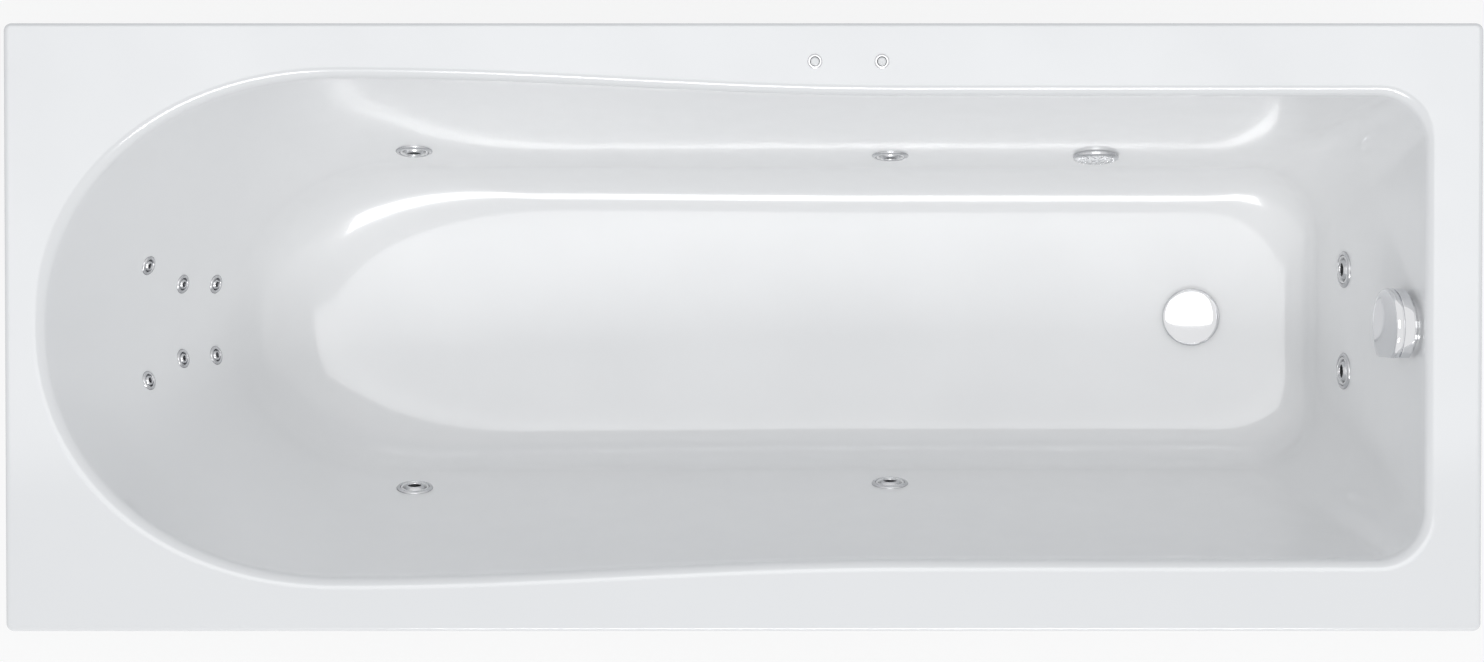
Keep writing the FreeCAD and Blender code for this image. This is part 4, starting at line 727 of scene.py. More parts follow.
class Repeater:
    """Geometry Nodes trees for what repeats round an axis or follows a path."""

    RIB_SIDES = 36
    RIB_SECTION_SIDES = 8

    def __init__(self) -> None:
        """Builds both trees."""
        self.around = self._around()
        self.rings = self._rings()

    @staticmethod
    def _tree(name: str, inputs: Iterable[tuple[str, str]]) -> bpy.types.NodeTree:
        """An empty tree with named inputs.

        Args:
            name: the tree's name.
            inputs: label and type of each input.

        Returns:
            The tree.
        """
        tree = bpy.data.node_groups.new(name, "GeometryNodeTree")
        for label, kind in inputs:
            tree.interface.new_socket(label, in_out="INPUT", socket_type=kind)
        tree.interface.new_socket("Geometry", in_out="OUTPUT", socket_type="NodeSocketGeometry")
        tree.nodes.new("NodeGroupInput")
        tree.nodes.new("NodeGroupOutput")
        return tree

    @staticmethod
    def _finish(tree: bpy.types.NodeTree, instances: bpy.types.NodeSocket) -> None:
        """Ends a tree in Realize Instances and Set Material.

        Args:
            tree: the tree.
            instances: the socket that it ends.
        """
        given = tree.nodes["Group Input"].outputs
        real = tree.nodes.new("GeometryNodeRealizeInstances")
        paint = tree.nodes.new("GeometryNodeSetMaterial")
        tree.links.new(instances, real.inputs[0])
        tree.links.new(real.outputs[0], paint.inputs["Geometry"])
        tree.links.new(given["Material"], paint.inputs["Material"])
        tree.links.new(paint.outputs[0], tree.nodes["Group Output"].inputs[0])

    def _around(self) -> bpy.types.NodeTree:
        """Blocks spaced evenly on a circle, each facing outwards.

        Returns:
            The tree.
        """
        tree = self._tree("blocks_around_axis", (
            ("Geometry", "NodeSocketGeometry"), ("Count", "NodeSocketInt"),
            ("Radius", "NodeSocketFloat"), ("Block", "NodeSocketVector"),
            ("Start", "NodeSocketFloat"), ("Material", "NodeSocketMaterial")))
        given = tree.nodes["Group Input"].outputs
        circle = tree.nodes.new("GeometryNodeMeshCircle")
        spot = tree.nodes.new("GeometryNodeInputPosition")
        facing = tree.nodes.new("FunctionNodeAlignEulerToVector")
        facing.axis = "X"
        block = tree.nodes.new("GeometryNodeMeshCube")
        dots = tree.nodes.new("GeometryNodeMeshToPoints")
        place = tree.nodes.new("GeometryNodeInstanceOnPoints")
        turn = tree.nodes.new("GeometryNodeTransform")
        angle = tree.nodes.new("ShaderNodeCombineXYZ")
        link = tree.links.new
        link(given["Count"], circle.inputs["Vertices"])
        link(given["Radius"], circle.inputs["Radius"])
        link(circle.outputs[0], dots.inputs[0])
        link(spot.outputs[0], facing.inputs["Vector"])
        link(given["Block"], block.inputs["Size"])
        link(dots.outputs[0], place.inputs["Points"])
        link(block.outputs["Mesh"], place.inputs["Instance"])
        link(facing.outputs[0], place.inputs["Rotation"])
        link(given["Start"], angle.inputs["Z"])
        link(angle.outputs[0], turn.inputs["Rotation"])
        link(place.outputs[0], turn.inputs["Geometry"])
        self._finish(tree, turn.outputs[0])
        return tree

    def _rings(self) -> bpy.types.NodeTree:
        """Round ribs along a path, square to it.

        Returns:
            The tree.
        """
        tree = self._tree("ribs_along_path", (
            ("Geometry", "NodeSocketGeometry"), ("Spacing", "NodeSocketFloat"),
            ("Radius", "NodeSocketFloat"), ("Rib", "NodeSocketFloat"),
            ("Material", "NodeSocketMaterial")))
        given = tree.nodes["Group Input"].outputs
        line = tree.nodes.new("GeometryNodeMeshToCurve")
        spaced = tree.nodes.new("GeometryNodeResampleCurve")
        spaced.mode = "LENGTH"
        facing = tree.nodes.new("FunctionNodeAlignEulerToVector")
        facing.axis = "Z"
        dots = tree.nodes.new("GeometryNodeCurveToPoints")
        dots.mode = "EVALUATED"
        big = tree.nodes.new("GeometryNodeCurvePrimitiveCircle")
        big.inputs["Resolution"].default_value = self.RIB_SIDES
        small = tree.nodes.new("GeometryNodeCurvePrimitiveCircle")
        small.inputs["Resolution"].default_value = self.RIB_SECTION_SIDES
        torus = tree.nodes.new("GeometryNodeCurveToMesh")
        place = tree.nodes.new("GeometryNodeInstanceOnPoints")
        link = tree.links.new
        link(given["Geometry"], line.inputs[0])
        link(line.outputs[0], spaced.inputs["Curve"])
        link(given["Spacing"], spaced.inputs["Length"])
        link(spaced.outputs[0], dots.inputs["Curve"])
        link(dots.outputs["Tangent"], facing.inputs["Vector"])
        link(given["Radius"], big.inputs["Radius"])
        link(given["Rib"], small.inputs["Radius"])
        link(big.outputs[0], torus.inputs["Curve"])
        link(small.outputs[0], torus.inputs["Profile Curve"])
        link(dots.outputs["Points"], place.inputs["Points"])
        link(torus.outputs[0], place.inputs["Instance"])
        link(facing.outputs[0], place.inputs["Rotation"])
        self._finish(tree, place.outputs[0])
        return tree

    @staticmethod
    def _made(name: str, source: bpy.types.Mesh, tree: bpy.types.NodeTree,
              values: dict[str, object]) -> bpy.types.Object:
        """Runs a tree on a mesh and turns its result into a plain object.

        Args:
            name: the object's name.
            source: the mesh that it starts from.
            tree: the tree.
            values: the inputs, by label.

        Returns:
            The object.
        """
        carrier = bpy.data.objects.new(name, source)
        bpy.context.scene.collection.objects.link(carrier)
        change = carrier.modifiers.new("nodes", "NODES")
        change.node_group = tree
        for item in tree.interface.items_tree:
            if item.item_type == "SOCKET" and item.in_out == "INPUT" and item.name in values:
                change[item.identifier] = values[item.name]
        graph = bpy.context.evaluated_depsgraph_get()
        mesh = bpy.data.meshes.new_from_object(carrier.evaluated_get(graph))
        bpy.data.objects.remove(carrier)
        mesh.name = name
        return to_object(name, mesh)

    def blocks(self, name: str, place: Matrix, count: int, radius: float,
               size: tuple[float, float, float], look: bpy.types.Material,
               start: float = 0.0) -> bpy.types.Object:
        """Blocks round a place's z axis, sizes in millimetres.

        Args:
            name: the object's name.
            place: where the axis is.
            count: how many.
            radius: radius of their circle.
            size: length, width and height of a block.
            look: their material.
            start: degrees of the first.

        Returns:
            The object.
        """
        piece = self._made(name, bpy.data.meshes.new(name), self.around, {
            "Count": count, "Radius": radius * MM, "Block": tuple(edge * MM for edge in size),
            "Start": math.radians(start), "Material": look})
        piece.data.transform(place)
        return piece

    def ribs(self, name: str, path: Loop, spacing: float, radius: float, rib: float,
             look: bpy.types.Material) -> bpy.types.Object:
        """Ribs along a path, sizes in millimetres.

        Args:
            name: the object's name.
            path: the points that they follow.
            spacing: distance between ribs.
            radius: radius of a rib.
            rib: half its thickness.
            look: their material.

        Returns:
            The object.
        """
        line = bpy.data.meshes.new(name)
        line.from_pydata([tuple(point) for point in path],
                         [(index, index + 1) for index in range(len(path) - 1)], [])
        return self._made(name, line, self.rings, {
            "Spacing": spacing * MM, "Radius": radius * MM, "Rib": rib * MM, "Material": look})


# ---------------------------------------------------------------- the fittings' places

@dataclass(frozen=True)
class Fittings:
    """Where the fittings sit in the shell, in metres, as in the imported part.

    Args:
        form: the basin's sizes.
        side_depth: depth of the side jets and the suction cover below the rim.
        jet_x: places of the side jets along the tub.
        foot_jet_y: distance of the foot jets from the middle.
        foot_jet_depth: depth of the foot jets.
        back_rows: name, depth and distance from the middle of each row in the backrest.
        suction_from_foot: distance of the suction cover from the foot end.
        overflow_depth: depth of the overflow knob.
        waste_from_foot: distance of the waste from the foot end.
        button_x: places of the push buttons along the rim.
        button_from_edge: distance of the push buttons from the rim's edge.
    """

    form: BasinForm
    side_depth: float = 0.295
    jet_x: tuple[tuple[str, float], ...] = (("head", -0.397), ("mid", 0.177))
    foot_jet_y: float = 0.061
    foot_jet_depth: float = 0.270
    back_rows: tuple[tuple[str, float, float], ...] = (
        ("upper", 0.166, 0.068), ("middle", 0.233, 0.0445), ("lower", 0.291, 0.043))
    suction_from_foot: float = 0.362
    overflow_depth: float = 0.062
    waste_from_foot: float = 0.238
    button_x: tuple[tuple[str, float], ...] = (("button_pump", 0.082), ("button_blower", 0.159))
    button_from_edge: float = 0.044

    @property
    def waste_x(self) -> float:
        """The waste's place along the tub."""
        return self.form.foot_x - self.waste_from_foot

    def jets(self) -> dict[str, Matrix]:
        """Name and place of the six large jets.

        Returns:
            The places, by the jet's name.
        """
        form = self.form
        found = {f"jet_{end}_{label}": wall_place(form, side, x, self.side_depth)
                 for side, label in ((Side.PLUS, "plus"), (Side.MINUS, "minus"))
                 for end, x in self.jet_x}
        for label, y in (("plus", self.foot_jet_y), ("minus", -self.foot_jet_y)):
            found[f"jet_foot_{label}"] = wall_place(form, Side.FOOT, y, self.foot_jet_depth)
        return found

    def backs(self) -> dict[str, Matrix]:
        """Name and place of the six small jets.

        Returns:
            The places, by the jet's name.
        """
        return {f"back_jet_{row}_{label}": wall_place(self.form, Side.HEAD, y * sign, depth)
                for row, depth, y in self.back_rows
                for label, sign in (("plus", 1), ("minus", -1))}

    def suction(self) -> Matrix:
        """Place of the suction cover.

        Returns:
            The place.
        """
        return wall_place(self.form, Side.PLUS, self.form.foot_x - self.suction_from_foot,
                          self.side_depth)

    def overflow(self) -> Matrix:
        """Place of the overflow knob."""
        return wall_place(self.form, Side.FOOT, 0.0, self.overflow_depth)

    def waste(self) -> Matrix:
        """Place of the waste on the basin's floor."""
        return Matrix.Translation((self.waste_x, 0, self.form.rim_height - self.form.depth))

    def buttons(self) -> dict[str, Matrix]:
        """Name and place of the two push buttons.

        Returns:
            The places, by the button's name.
        """
        y = self.form.width / 2 - self.button_from_edge
        return {name: Matrix.Translation((x, y, self.form.rim_height))
                for name, x in self.button_x}

    def holes(self) -> list[tuple[Matrix, float, float]]:
        """Place, hole radius and seat radius of every fitting, radii in millimetres.

        Returns:
            One entry for each hole in the shell.
        """
        found = [(place, 20.5, 22.3) for place in self.jets().values()]
        found += [(place, 9.8, 11.8) for place in self.backs().values()]
        found += [(self.suction(), 24.5, 27.8), (self.overflow(), 24.0, 34.8),
                  (self.waste(), 27.0, 35.3)]
        return found + [(place, 7.6, 8.8) for place in self.buttons().values()]


# ---------------------------------------------------------------- sub-assemblies

def settle(piece: bpy.types.Object, body: str, look: Look, *nodes: str) -> None:
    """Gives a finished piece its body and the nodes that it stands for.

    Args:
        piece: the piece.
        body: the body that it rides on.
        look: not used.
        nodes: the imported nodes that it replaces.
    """
    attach(piece, body)
    if nodes:
        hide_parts(*nodes)
    log.info("%s: %d faces, rides on %s", piece.name, len(piece.data.polygons), body)


@dataclass
class BathShell:
    """The acrylic shell: rim, turned-down edge and basin with its holes.

    Args:
        form: the basin's sizes.
        finish: the materials.
        holes: place, hole radius and seat radius of every fitting, in millimetres.
        flat: width of the flat strip next to each rolled edge.
        edge: radius of the lip's lower edges.
        middle: ends of the floor's middle line.
        shares: how far each floor loop has shrunk towards that line.
        cut: lowest, seat and highest level of a hole's tool, in millimetres.
    """

    form: BasinForm
    finish: Finisher
    holes: list[tuple[Matrix, float, float]]
    flat: float = 0.003
    edge: float = 0.001
    middle: tuple[float, float] = (-0.2, 0.6)
    shares: tuple[float, ...] = (0.12, 0.25, 0.4, 0.55, 0.7, 0.85, 0.96)
    cut: Size = (-30, -0.05, 14)

    def depths(self, first: float, last: float, steps: int) -> list[float]:
        """Depths of the rings down a skin.

        Args:
            first: depth of the first ring.
            last: depth of the last.
            steps: rings round the bend into the floor.

        Returns:
            The depths.
        """
        wall = spread(first, self.form.bend, 26)
        return wall + [self.form.bend + (last - self.form.bend)
                       * math.sin(math.pi / 2 * index / steps) for index in range(1, steps + 1)]

    def rim_loop(self, inset: float, z: float) -> Loop:
        """A rounded rectangle a little inside the rim's outer edge.

        Args:
            inset: distance from the edge.
            z: its height.

        Returns:
            The points.
        """
        half_x = self.form.length / 2 - inset
        half_y = self.form.width / 2 - inset
        radius = max(self.form.rim_corner - inset, 0.0005)
        loop = []
        for quarter, (sign_x, sign_y) in enumerate(((1, 1), (-1, 1), (-1, -1), (1, -1))):
            centre = Vector((sign_x * (half_x - radius), sign_y * (half_y - radius), z))
            for angle in spread(quarter * math.pi / 2, (quarter + 1) * math.pi / 2, 8):
                loop.append(centre + Vector((math.cos(angle), math.sin(angle), 0)) * radius)
        return loop

    @staticmethod
    def widened(loop: Loop, gap: float) -> Loop:
        """The same outline moved outwards.

        Args:
            loop: the outline.
            gap: how far it moves.

        Returns:
            The points.
        """
        moved = []
        for index, point in enumerate(loop):
            along = loop[(index + 1) % len(loop)] - loop[index - 1]
            moved.append(point + Vector((along.y, -along.x, 0)).normalized() * gap)
        return moved

    @staticmethod
    def ladder(made: bmesh.types.BMesh, loops: list[list[bmesh.types.BMVert]], slot: int) -> None:
        """Quads between neighbouring loops of equal length.

        Args:
            made: the mesh.
            loops: the loops.
            slot: material index.
        """
        for first, second in zip(loops, loops[1:]):
            for index in range(len(first)):
                after = (index + 1) % len(first)
                face = made.faces.new((first[index], first[after], second[after], second[index]))
                face.material_index = slot

    @staticmethod
    def plate(made: bmesh.types.BMesh, outer: list[bmesh.types.BMVert],
              inner: list[bmesh.types.BMVert], slot: int) -> None:
        """The flat between an outer loop and a hole.

        Args:
            made: the mesh.
            outer: the outer loop.
            inner: the hole.
            slot: material index.
        """
        corners = outer + inner
        for triple in tessellate_polygon([[v.co for v in outer], [v.co for v in inner]]):
            face = made.faces.new([corners[index] for index in triple])
            face.material_index = slot

    def floor_loops(self, loop: Loop) -> list[Loop]:
        """Loops that shrink from the floor's outline to its middle line."""
        low, high = self.middle
        return [[point.lerp(Vector((min(max(point.x, low), high), 0, point.z)), share)
                 for point in loop] for share in self.shares]

    def build(self) -> None:
        """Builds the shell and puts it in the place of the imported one."""
        form = self.form
        made = bmesh.new()
        rolls = [form.edge_round * (1 - math.cos(angle))
                 for angle in spread(0.0, math.pi / 2, 8)]
        inside = [Outline(form, depth).loop() for depth in rolls]
        inside += [Outline(form, depth).loop()
                   for depth in self.depths(form.edge_round, form.depth, 28)[1:]]
        inside += self.floor_loops(inside[-1])
        inside.insert(0, self.widened(inside[0], self.flat))
        outside = [Outline(form, depth, form.wall).loop()
                   for depth in self.depths(form.wall, form.depth + form.wall, 20)]
        outside += self.floor_loops(outside[-1])
        outside.insert(0, self.widened(outside[0], self.flat))
        corner = form.rim_round
        edge = [self.rim_loop(corner + self.flat, form.rim_height)]
        edge += [self.rim_loop(corner * (1 - math.sin(angle)),
                               form.rim_height - corner * (1 - math.cos(angle)))
                 for angle in spread(0.0, math.pi / 2, 6)]
        low = form.rim_height - form.lip_drop
        under = form.rim_height - form.wall
        edge += [self.rim_loop(0.0, low + self.edge), self.rim_loop(self.edge, low),
                 self.rim_loop(form.wall - self.edge, low),
                 self.rim_loop(form.wall, low + self.edge), self.rim_loop(form.wall, under),
                 self.rim_loop(form.wall + 2 * self.edge, under)]
        inside_rings = [[made.verts.new(point) for point in loop] for loop in inside]
        outside_rings = [[made.verts.new(point) for point in loop] for loop in outside]
        edge_rings = [[made.verts.new(point) for point in loop] for loop in edge]
        self.ladder(made, inside_rings, 0)
        self.ladder(made, outside_rings, 1)
        self.ladder(made, edge_rings[:-2], 0)
        self.ladder(made, edge_rings[-3:], 1)
        self.plate(made, edge_rings[0], inside_rings[0], 0)
        self.plate(made, edge_rings[-1], outside_rings[0], 1)
        made.faces.new(inside_rings[-1]).material_index = 0
        made.faces.new(outside_rings[-1]).material_index = 1
        bmesh.ops.recalc_face_normals(made, faces=made.faces)
        shell = finished("shell_visual", made, self.finish[Look.ACRYLIC],
                         self.finish[Look.BACKING])
        tools = bmesh.new()
        low, rest, high = self.cut
        for place, hole, seat in self.holes:
            lathe([(0, low), (hole, low), (hole, rest), (seat, rest), (seat, high), (0, high)],
                  place, tools, steps=96)
        carved(shell, finished("hole_tools", tools))
        shell.data.set_sharp_from_angle(angle=math.radians(CREASE))
        settle(shell, "tub", Look.ACRYLIC, "acrylic_shell")


@dataclass
class SideJets:
    """The six large jets: fixed flanges, turning bezels and swivelling eyeballs.

    Args:
        places: name and place of each jet.
        finish: the materials.
        repeat: the Geometry Nodes trees.
        flange: the flange's profile, in millimetres as all that follows.
        bezel: the turning ring's profile.
        grips: how many notches the ring has.
        grip_circle: radius of the circle of notches.
        grip_size: depth, width and height of a notch.
        grip_level: height of the notches in metres.
        ball: radius of the eyeball.
        ball_level: height of the eyeball's centre.
        bore: radius of the eyeball's bore.
    """

    places: dict[str, Matrix]
    finish: Finisher
    repeat: Repeater
    flange: Profile = ((17.4, -26), (19.6, -26), (19.6, 0), (21.9, 0), (22, 0.3), (21.9, 1.1),
                       (21.3, 1.9), (20.3, 2.5), (19.2, 2.9), (18.4, 3.0), (17.9, 2.8),
                       (17.55, 2.4), (17.4, 1.8))
    bezel: Profile = ((13.8, -18), (17, -18), (17, 1.6), (16.8, 2.2), (16.3, 2.6), (15.6, 2.6),
                      (14.9, 2.2), (14.3, 1.4), (13.95, 0.4), (13.8, -0.8))
    grips: int = 12
    grip_circle: float = 15.9
    grip_size: Size = (1.5, 1.1, 1.3)
    grip_level: float = 0.0022
    ball: float = 13.5
    ball_level: float = -5
    bore: float = 7.5

    def build(self) -> None:
        """Builds the flanges in one mesh, then each jet's moving pieces."""
        flanges = bmesh.new()
        for place in self.places.values():
            lathe(self.flange, place, flanges, steps=96)
        settle(finished("jet_flanges", flanges, self.finish[Look.SATIN]), "tub", Look.SATIN,
               "jet_faces")
        for name, place in self.places.items():
            self._bezel(name, place)
            self._eyeball(name, place)

    def _bezel(self, name: str, place: Matrix) -> None:
        """The white ring with its finger notches.

        Args:
            name: the jet's name.
            place: where it sits.
        """
        made = bmesh.new()
        lathe(self.bezel, place, made, steps=96)
        ring = finished(f"{name}_ring_visual", made, self.finish[Look.WHITE])
        grips = self.repeat.blocks(
            f"{name}_grips", place @ Matrix.Translation((0, 0, self.grip_level)), self.grips,
            self.grip_circle, self.grip_size, self.finish[Look.WHITE])
        settle(joined(ring, grips), f"{name}_ring", Look.WHITE, f"{name}_bezel")

    def _eyeball(self, name: str, place: Matrix) -> None:
        """The ball with its bore.

        Args:
            name: the jet's name.
            place: where it sits.
        """
        made = bmesh.new()
        ball = arc(self.ball, (0, self.ball_level), -45, 45, 18)
        rim, low = ball[-1], ball[0][1]
        bore = self.bore
        lathe(ball + [(rim[0] - 0.5, rim[1] + 0.15), (bore + 0.7, rim[1] - 0.3),
                      (bore + 0.1, rim[1] - 1.2), (bore, rim[1] - 2.4), (bore, low + 1.0),
                      (bore + 0.7, low)], place, made, steps=72)
        settle(finished(f"{name}_ball_visual", made, self.finish[Look.SATIN]), f"{name}_ball",
               Look.SATIN, f"{name}_eyeball")


@dataclass
class BackJets:
    """The six small jets in the backrest.

    Args:
        places: name and place of each jet.
        finish: the materials.
        body: the fixed body's profile, in millimetres as all that follows.
        ball: radius of the nozzle's ball.
        ball_level: height of the ball's centre.
        bore: radius of the nozzle's bore.
    """

    places: dict[str, Matrix]
    finish: Finisher
    body: Profile = ((7.3, -12), (7.3, 1.0), (7.6, 1.6), (8.2, 2.0), (9.4, 1.95), (10.5, 1.6),
                     (11.2, 1.0), (11.5, 0.3), (11.5, 0), (9.5, 0), (9.5, -22), (4.2, -22),
                     (4.2, -30), (2.5, -30), (2.5, -12))
    ball: float = 7
    ball_level: float = -2.5
    bore: float = 3

    def build(self) -> None:
        """Builds the fixed bodies in one mesh, and each nozzle."""
        bodies = bmesh.new()
        for name, place in self.places.items():
            lathe(self.body, place, bodies, steps=56)
            made = bmesh.new()
            ball = arc(self.ball, (0, self.ball_level), -50, 50, 14)
            top, low, bore = ball[-1][1], ball[0][1], self.bore
            lathe(ball + [(bore + 1.0, top + 0.1), (bore + 0.3, top - 0.3), (bore, top - 1.1),
                          (bore, low + 0.5), (bore + 0.4, low)], place, made, steps=48)
            settle(finished(f"{name}_tip_visual", made, self.finish[Look.SATIN]),
                   f"{name}_tip", Look.SATIN, f"{name}_nozzle")
        settle(finished("back_jet_bodies_visual", bodies, self.finish[Look.SATIN]), "tub",
               Look.SATIN, "back_jet_bodies")


@dataclass
class SuctionCover:
    """The domed suction cover with its rings of slots and centre screw.

    Args:
        place: where it sits.
        finish: the materials.
        repeat: the Geometry Nodes trees.
        dome: the cover's profile, in millimetres as the other sizes.
        slot_rings: circle radius and count of each ring of slots.
        slot_size: length, width and depth of a slot.
        screw: the screw head's profile.
        cross_size: length, width and depth of a stroke of its cross.
    """

    place: Matrix
    finish: Finisher
    repeat: Repeater
    dome: Profile = ((0, 1.2), (26, 1.2), (27.3, 0.2), (27.5, 0.6), (27.5, 3.0), (27.1, 4.2),
                     (26.0, 5.2), (24.2, 5.9), (18, 6.4), (9, 6.8), (6, 6.8), (5.6, 6.3),
                     (0, 6.3))
    slot_rings: tuple[tuple[float, int], ...] = ((21.5, 20), (14.5, 12))
    slot_size: Size = (4.6, 1.9, 2.2)
    screw: Profile = ((0, 5.8), (4.4, 5.8), (4.6, 6.4), (4.2, 7.0), (0, 7.2))
    cross_size: Size = (5.0, 0.9, 1.0)

    def build(self) -> None:
        """Builds the cover, cuts its slots and sets the screw."""
        made = bmesh.new()
        lathe(self.dome, self.place, made, steps=96, closed=False)
        cover = finished("suction_cover_visual", made, self.finish[Look.SATIN])
        dark = self.finish[Look.DARK]
        for ring, (radius, count) in enumerate(self.slot_rings):
            slots = self.repeat.blocks(f"suction_slots_{ring}",
                                       self.place @ Matrix.Translation((0, 0, 0.0056)),
                                       count, radius, self.slot_size, dark, 9.0 * ring)
            carved(cover, slots)
        screw = bmesh.new()
        lathe(self.screw, self.place, screw, steps=40, closed=False)
        head = finished("suction_screw", screw, self.finish[Look.CHROME])
        cross = self.repeat.blocks("suction_screw_slot",
                                   self.place @ Matrix.Translation((0, 0, 0.0071)),
                                   3, 0.01, self.cross_size, dark)
        carved(head, cross)
        settle(joined(cover, head), "tub", Look.SATIN, "suction_cover")


@dataclass
class WasteSet:
    """The drain's flange with its bars, and the lifting plug.

    Args:
        place: where it sits.
        finish: the materials.
        repeat: the Geometry Nodes trees.
        flange: the flange's profile, in millimetres as the other sizes.
        guide: profile of the tube that guides the plug's stem.
        bars: how many bars hold the guide.
        bar_circle: radius of the circle through the bars' middles.
        bar_size: length, width and height of a bar.
        plug: the plug's profile.
    """

    place: Matrix
    finish: Finisher
    repeat: Repeater
    flange: Profile = ((22, -10), (25.5, -10), (25.5, 0), (32.8, 0), (33, 0.3), (32.8, 0.9),
                       (31.8, 1.5), (30.2, 1.9), (23.2, 2.0), (22.3, 1.6), (22, 0.8))
    guide: Profile = ((4.05, -22), (7, -22), (7, -4.4), (6.6, -4), (4.05, -4))
    bars: int = 3
    bar_circle: float = 14.5
    bar_size: Size = (17, 3, 5)
    plug: Profile = ((0, -52), (3, -52), (4, -51), (4, 3.3), (33.4, 3.3), (34.5, 3.7), (35, 4.5),
                     (34.9, 5.2), (34.3, 6.0), (33.2, 6.6), (30, 7.1), (24, 7.6), (16, 8.0),
                     (8, 8.2), (0, 8.3))

    def build(self) -> None:
        """Builds the flange with its guide and bars, then the plug."""
        made = bmesh.new()
        lathe(self.flange, self.place, made, steps=96)
        lathe(self.guide, self.place, made)
        flange = finished("waste_flange_visual", made, self.finish[Look.CHROME])
        bars = self.repeat.blocks("waste_bars", self.place @ Matrix.Translation((0, 0, -0.007)),
                                  self.bars, self.bar_circle, self.bar_size,
                                  self.finish[Look.CHROME])
        settle(joined(flange, bars), "tub", Look.CHROME, "waste_flange")
        plug = bmesh.new()
        lathe(self.plug, self.place, plug, steps=128, closed=False)
        settle(finished("waste_plug_visual", plug, self.finish[Look.CHROME]), "plug",
               Look.CHROME, "waste_plug")


@dataclass
class OverflowKnob:
    """The round overflow knob with one flat on its rim, and the neck behind it.

    Args:
        place: where it sits.
        finish: the materials.
        knob: the knob's profile, in millimetres; its hollow stays inside the flat.
        flat: distance of the flat from the knob's axis, in metres.
        flat_tool: size of the block that cuts the flat, in metres.
        neck: the fixed neck's profile.
        tube: profile of the tube through the shell.
    """

    place: Matrix
    finish: Finisher
    knob: Profile = ((0, -22), (6, -22), (6, 12), (9, 12), (9, 25), (32.6, 25), (32.6, 7.4),
                     (33, 7), (43.4, 7), (44, 7.6), (44, 18.4), (43.6, 19.0), (42.0, 19.3),
                     (42.0, 20.7), (43.6, 21.0), (44, 21.6), (44, 25.2), (43.6, 27.2),
                     (42.6, 28.4), (41, 29), (36, 29.2), (0, 29.3))
    flat: float = 0.036
    flat_tool: Size = (0.06, 0.12, 0.08)
    neck: Profile = ((6.05, -18), (11, -18), (11, 0), (34.4, 0), (34.5, 0.4), (34.5, 4.4),
                     (34, 5.2), (32.6, 5.8), (30.5, 6), (12, 6), (11, 8), (6.05, 8))
    tube: Profile = ((21, -8), (23.4, -8), (23.4, 0.5), (21, 0.5))

    def build(self) -> None:
        """Builds the knob, cuts its flat and sets the neck behind it."""
        made = bmesh.new()
        lathe(self.knob, self.place, made, steps=160, closed=False)
        knob = finished("knob_visual", made, self.finish[Look.CHROME])
        flat = bmesh.new()
        bmesh.ops.create_cube(flat, size=1.0)
        side = -1.0 if self.place.col[0].y > 0 else 1.0
        bmesh.ops.transform(flat, verts=flat.verts, matrix=self.place
                            @ Matrix.Translation((side * (self.flat + self.flat_tool[0] / 2),
                                                  0, 0.015))
                            @ Matrix.Diagonal((*self.flat_tool, 1.0)))
        carved(knob, finished("knob_flat_tool", flat))
        knob.data.set_sharp_from_angle(angle=math.radians(CREASE))
        settle(knob, "knob", Look.CHROME, "overflow_knob")
        face = bmesh.new()
        lathe(self.neck, self.place, face, steps=96)
        lathe(self.tube, self.place, face)
        neck = finished("overflow_neck_visual", face, self.finish[Look.CHROME])
        settle(neck, "tub", Look.CHROME, "overflow_face")


@dataclass
class PushButtons:
    """Two air push buttons in the rim.

    Args:
        places: name and place of each button.
        finish: the materials.
        ring: profile of the fixed ring and body, in millimetres.
        cap: profile of the cap that is pressed.
    """

    places: dict[str, Matrix]
    finish: Finisher
    ring: Profile = ((5.5, -30), (5.5, 1.0), (5.8, 1.4), (6.4, 1.5), (7.6, 1.45), (8.2, 1.1),
                     (8.5, 0.5), (8.5, 0), (7.3, 0), (7.3, -36), (2, -36), (2, -48), (1, -48),
                     (1, -30))
    cap: Profile = ((0, -12), (4.9, -12), (4.9, 3.3), (4.7, 3.8), (4.2, 4.15), (3.2, 4.25),
                    (1.6, 4.15), (0, 4.1))

    def build(self) -> None:
        """Builds both rings in one mesh, and each cap."""
        rings = bmesh.new()
        for name, place in self.places.items():
            lathe(self.ring, place, rings, steps=64)
            cap = bmesh.new()
            lathe(self.cap, place, cap, steps=56, closed=False)
            settle(finished(f"{name}_visual", cap, self.finish[Look.WHITE]), f"{name}_cap",
                   Look.WHITE, name)
        settle(finished("button_rings_visual", rings, self.finish[Look.SATIN]), "tub",
               Look.SATIN, "button_bodies")


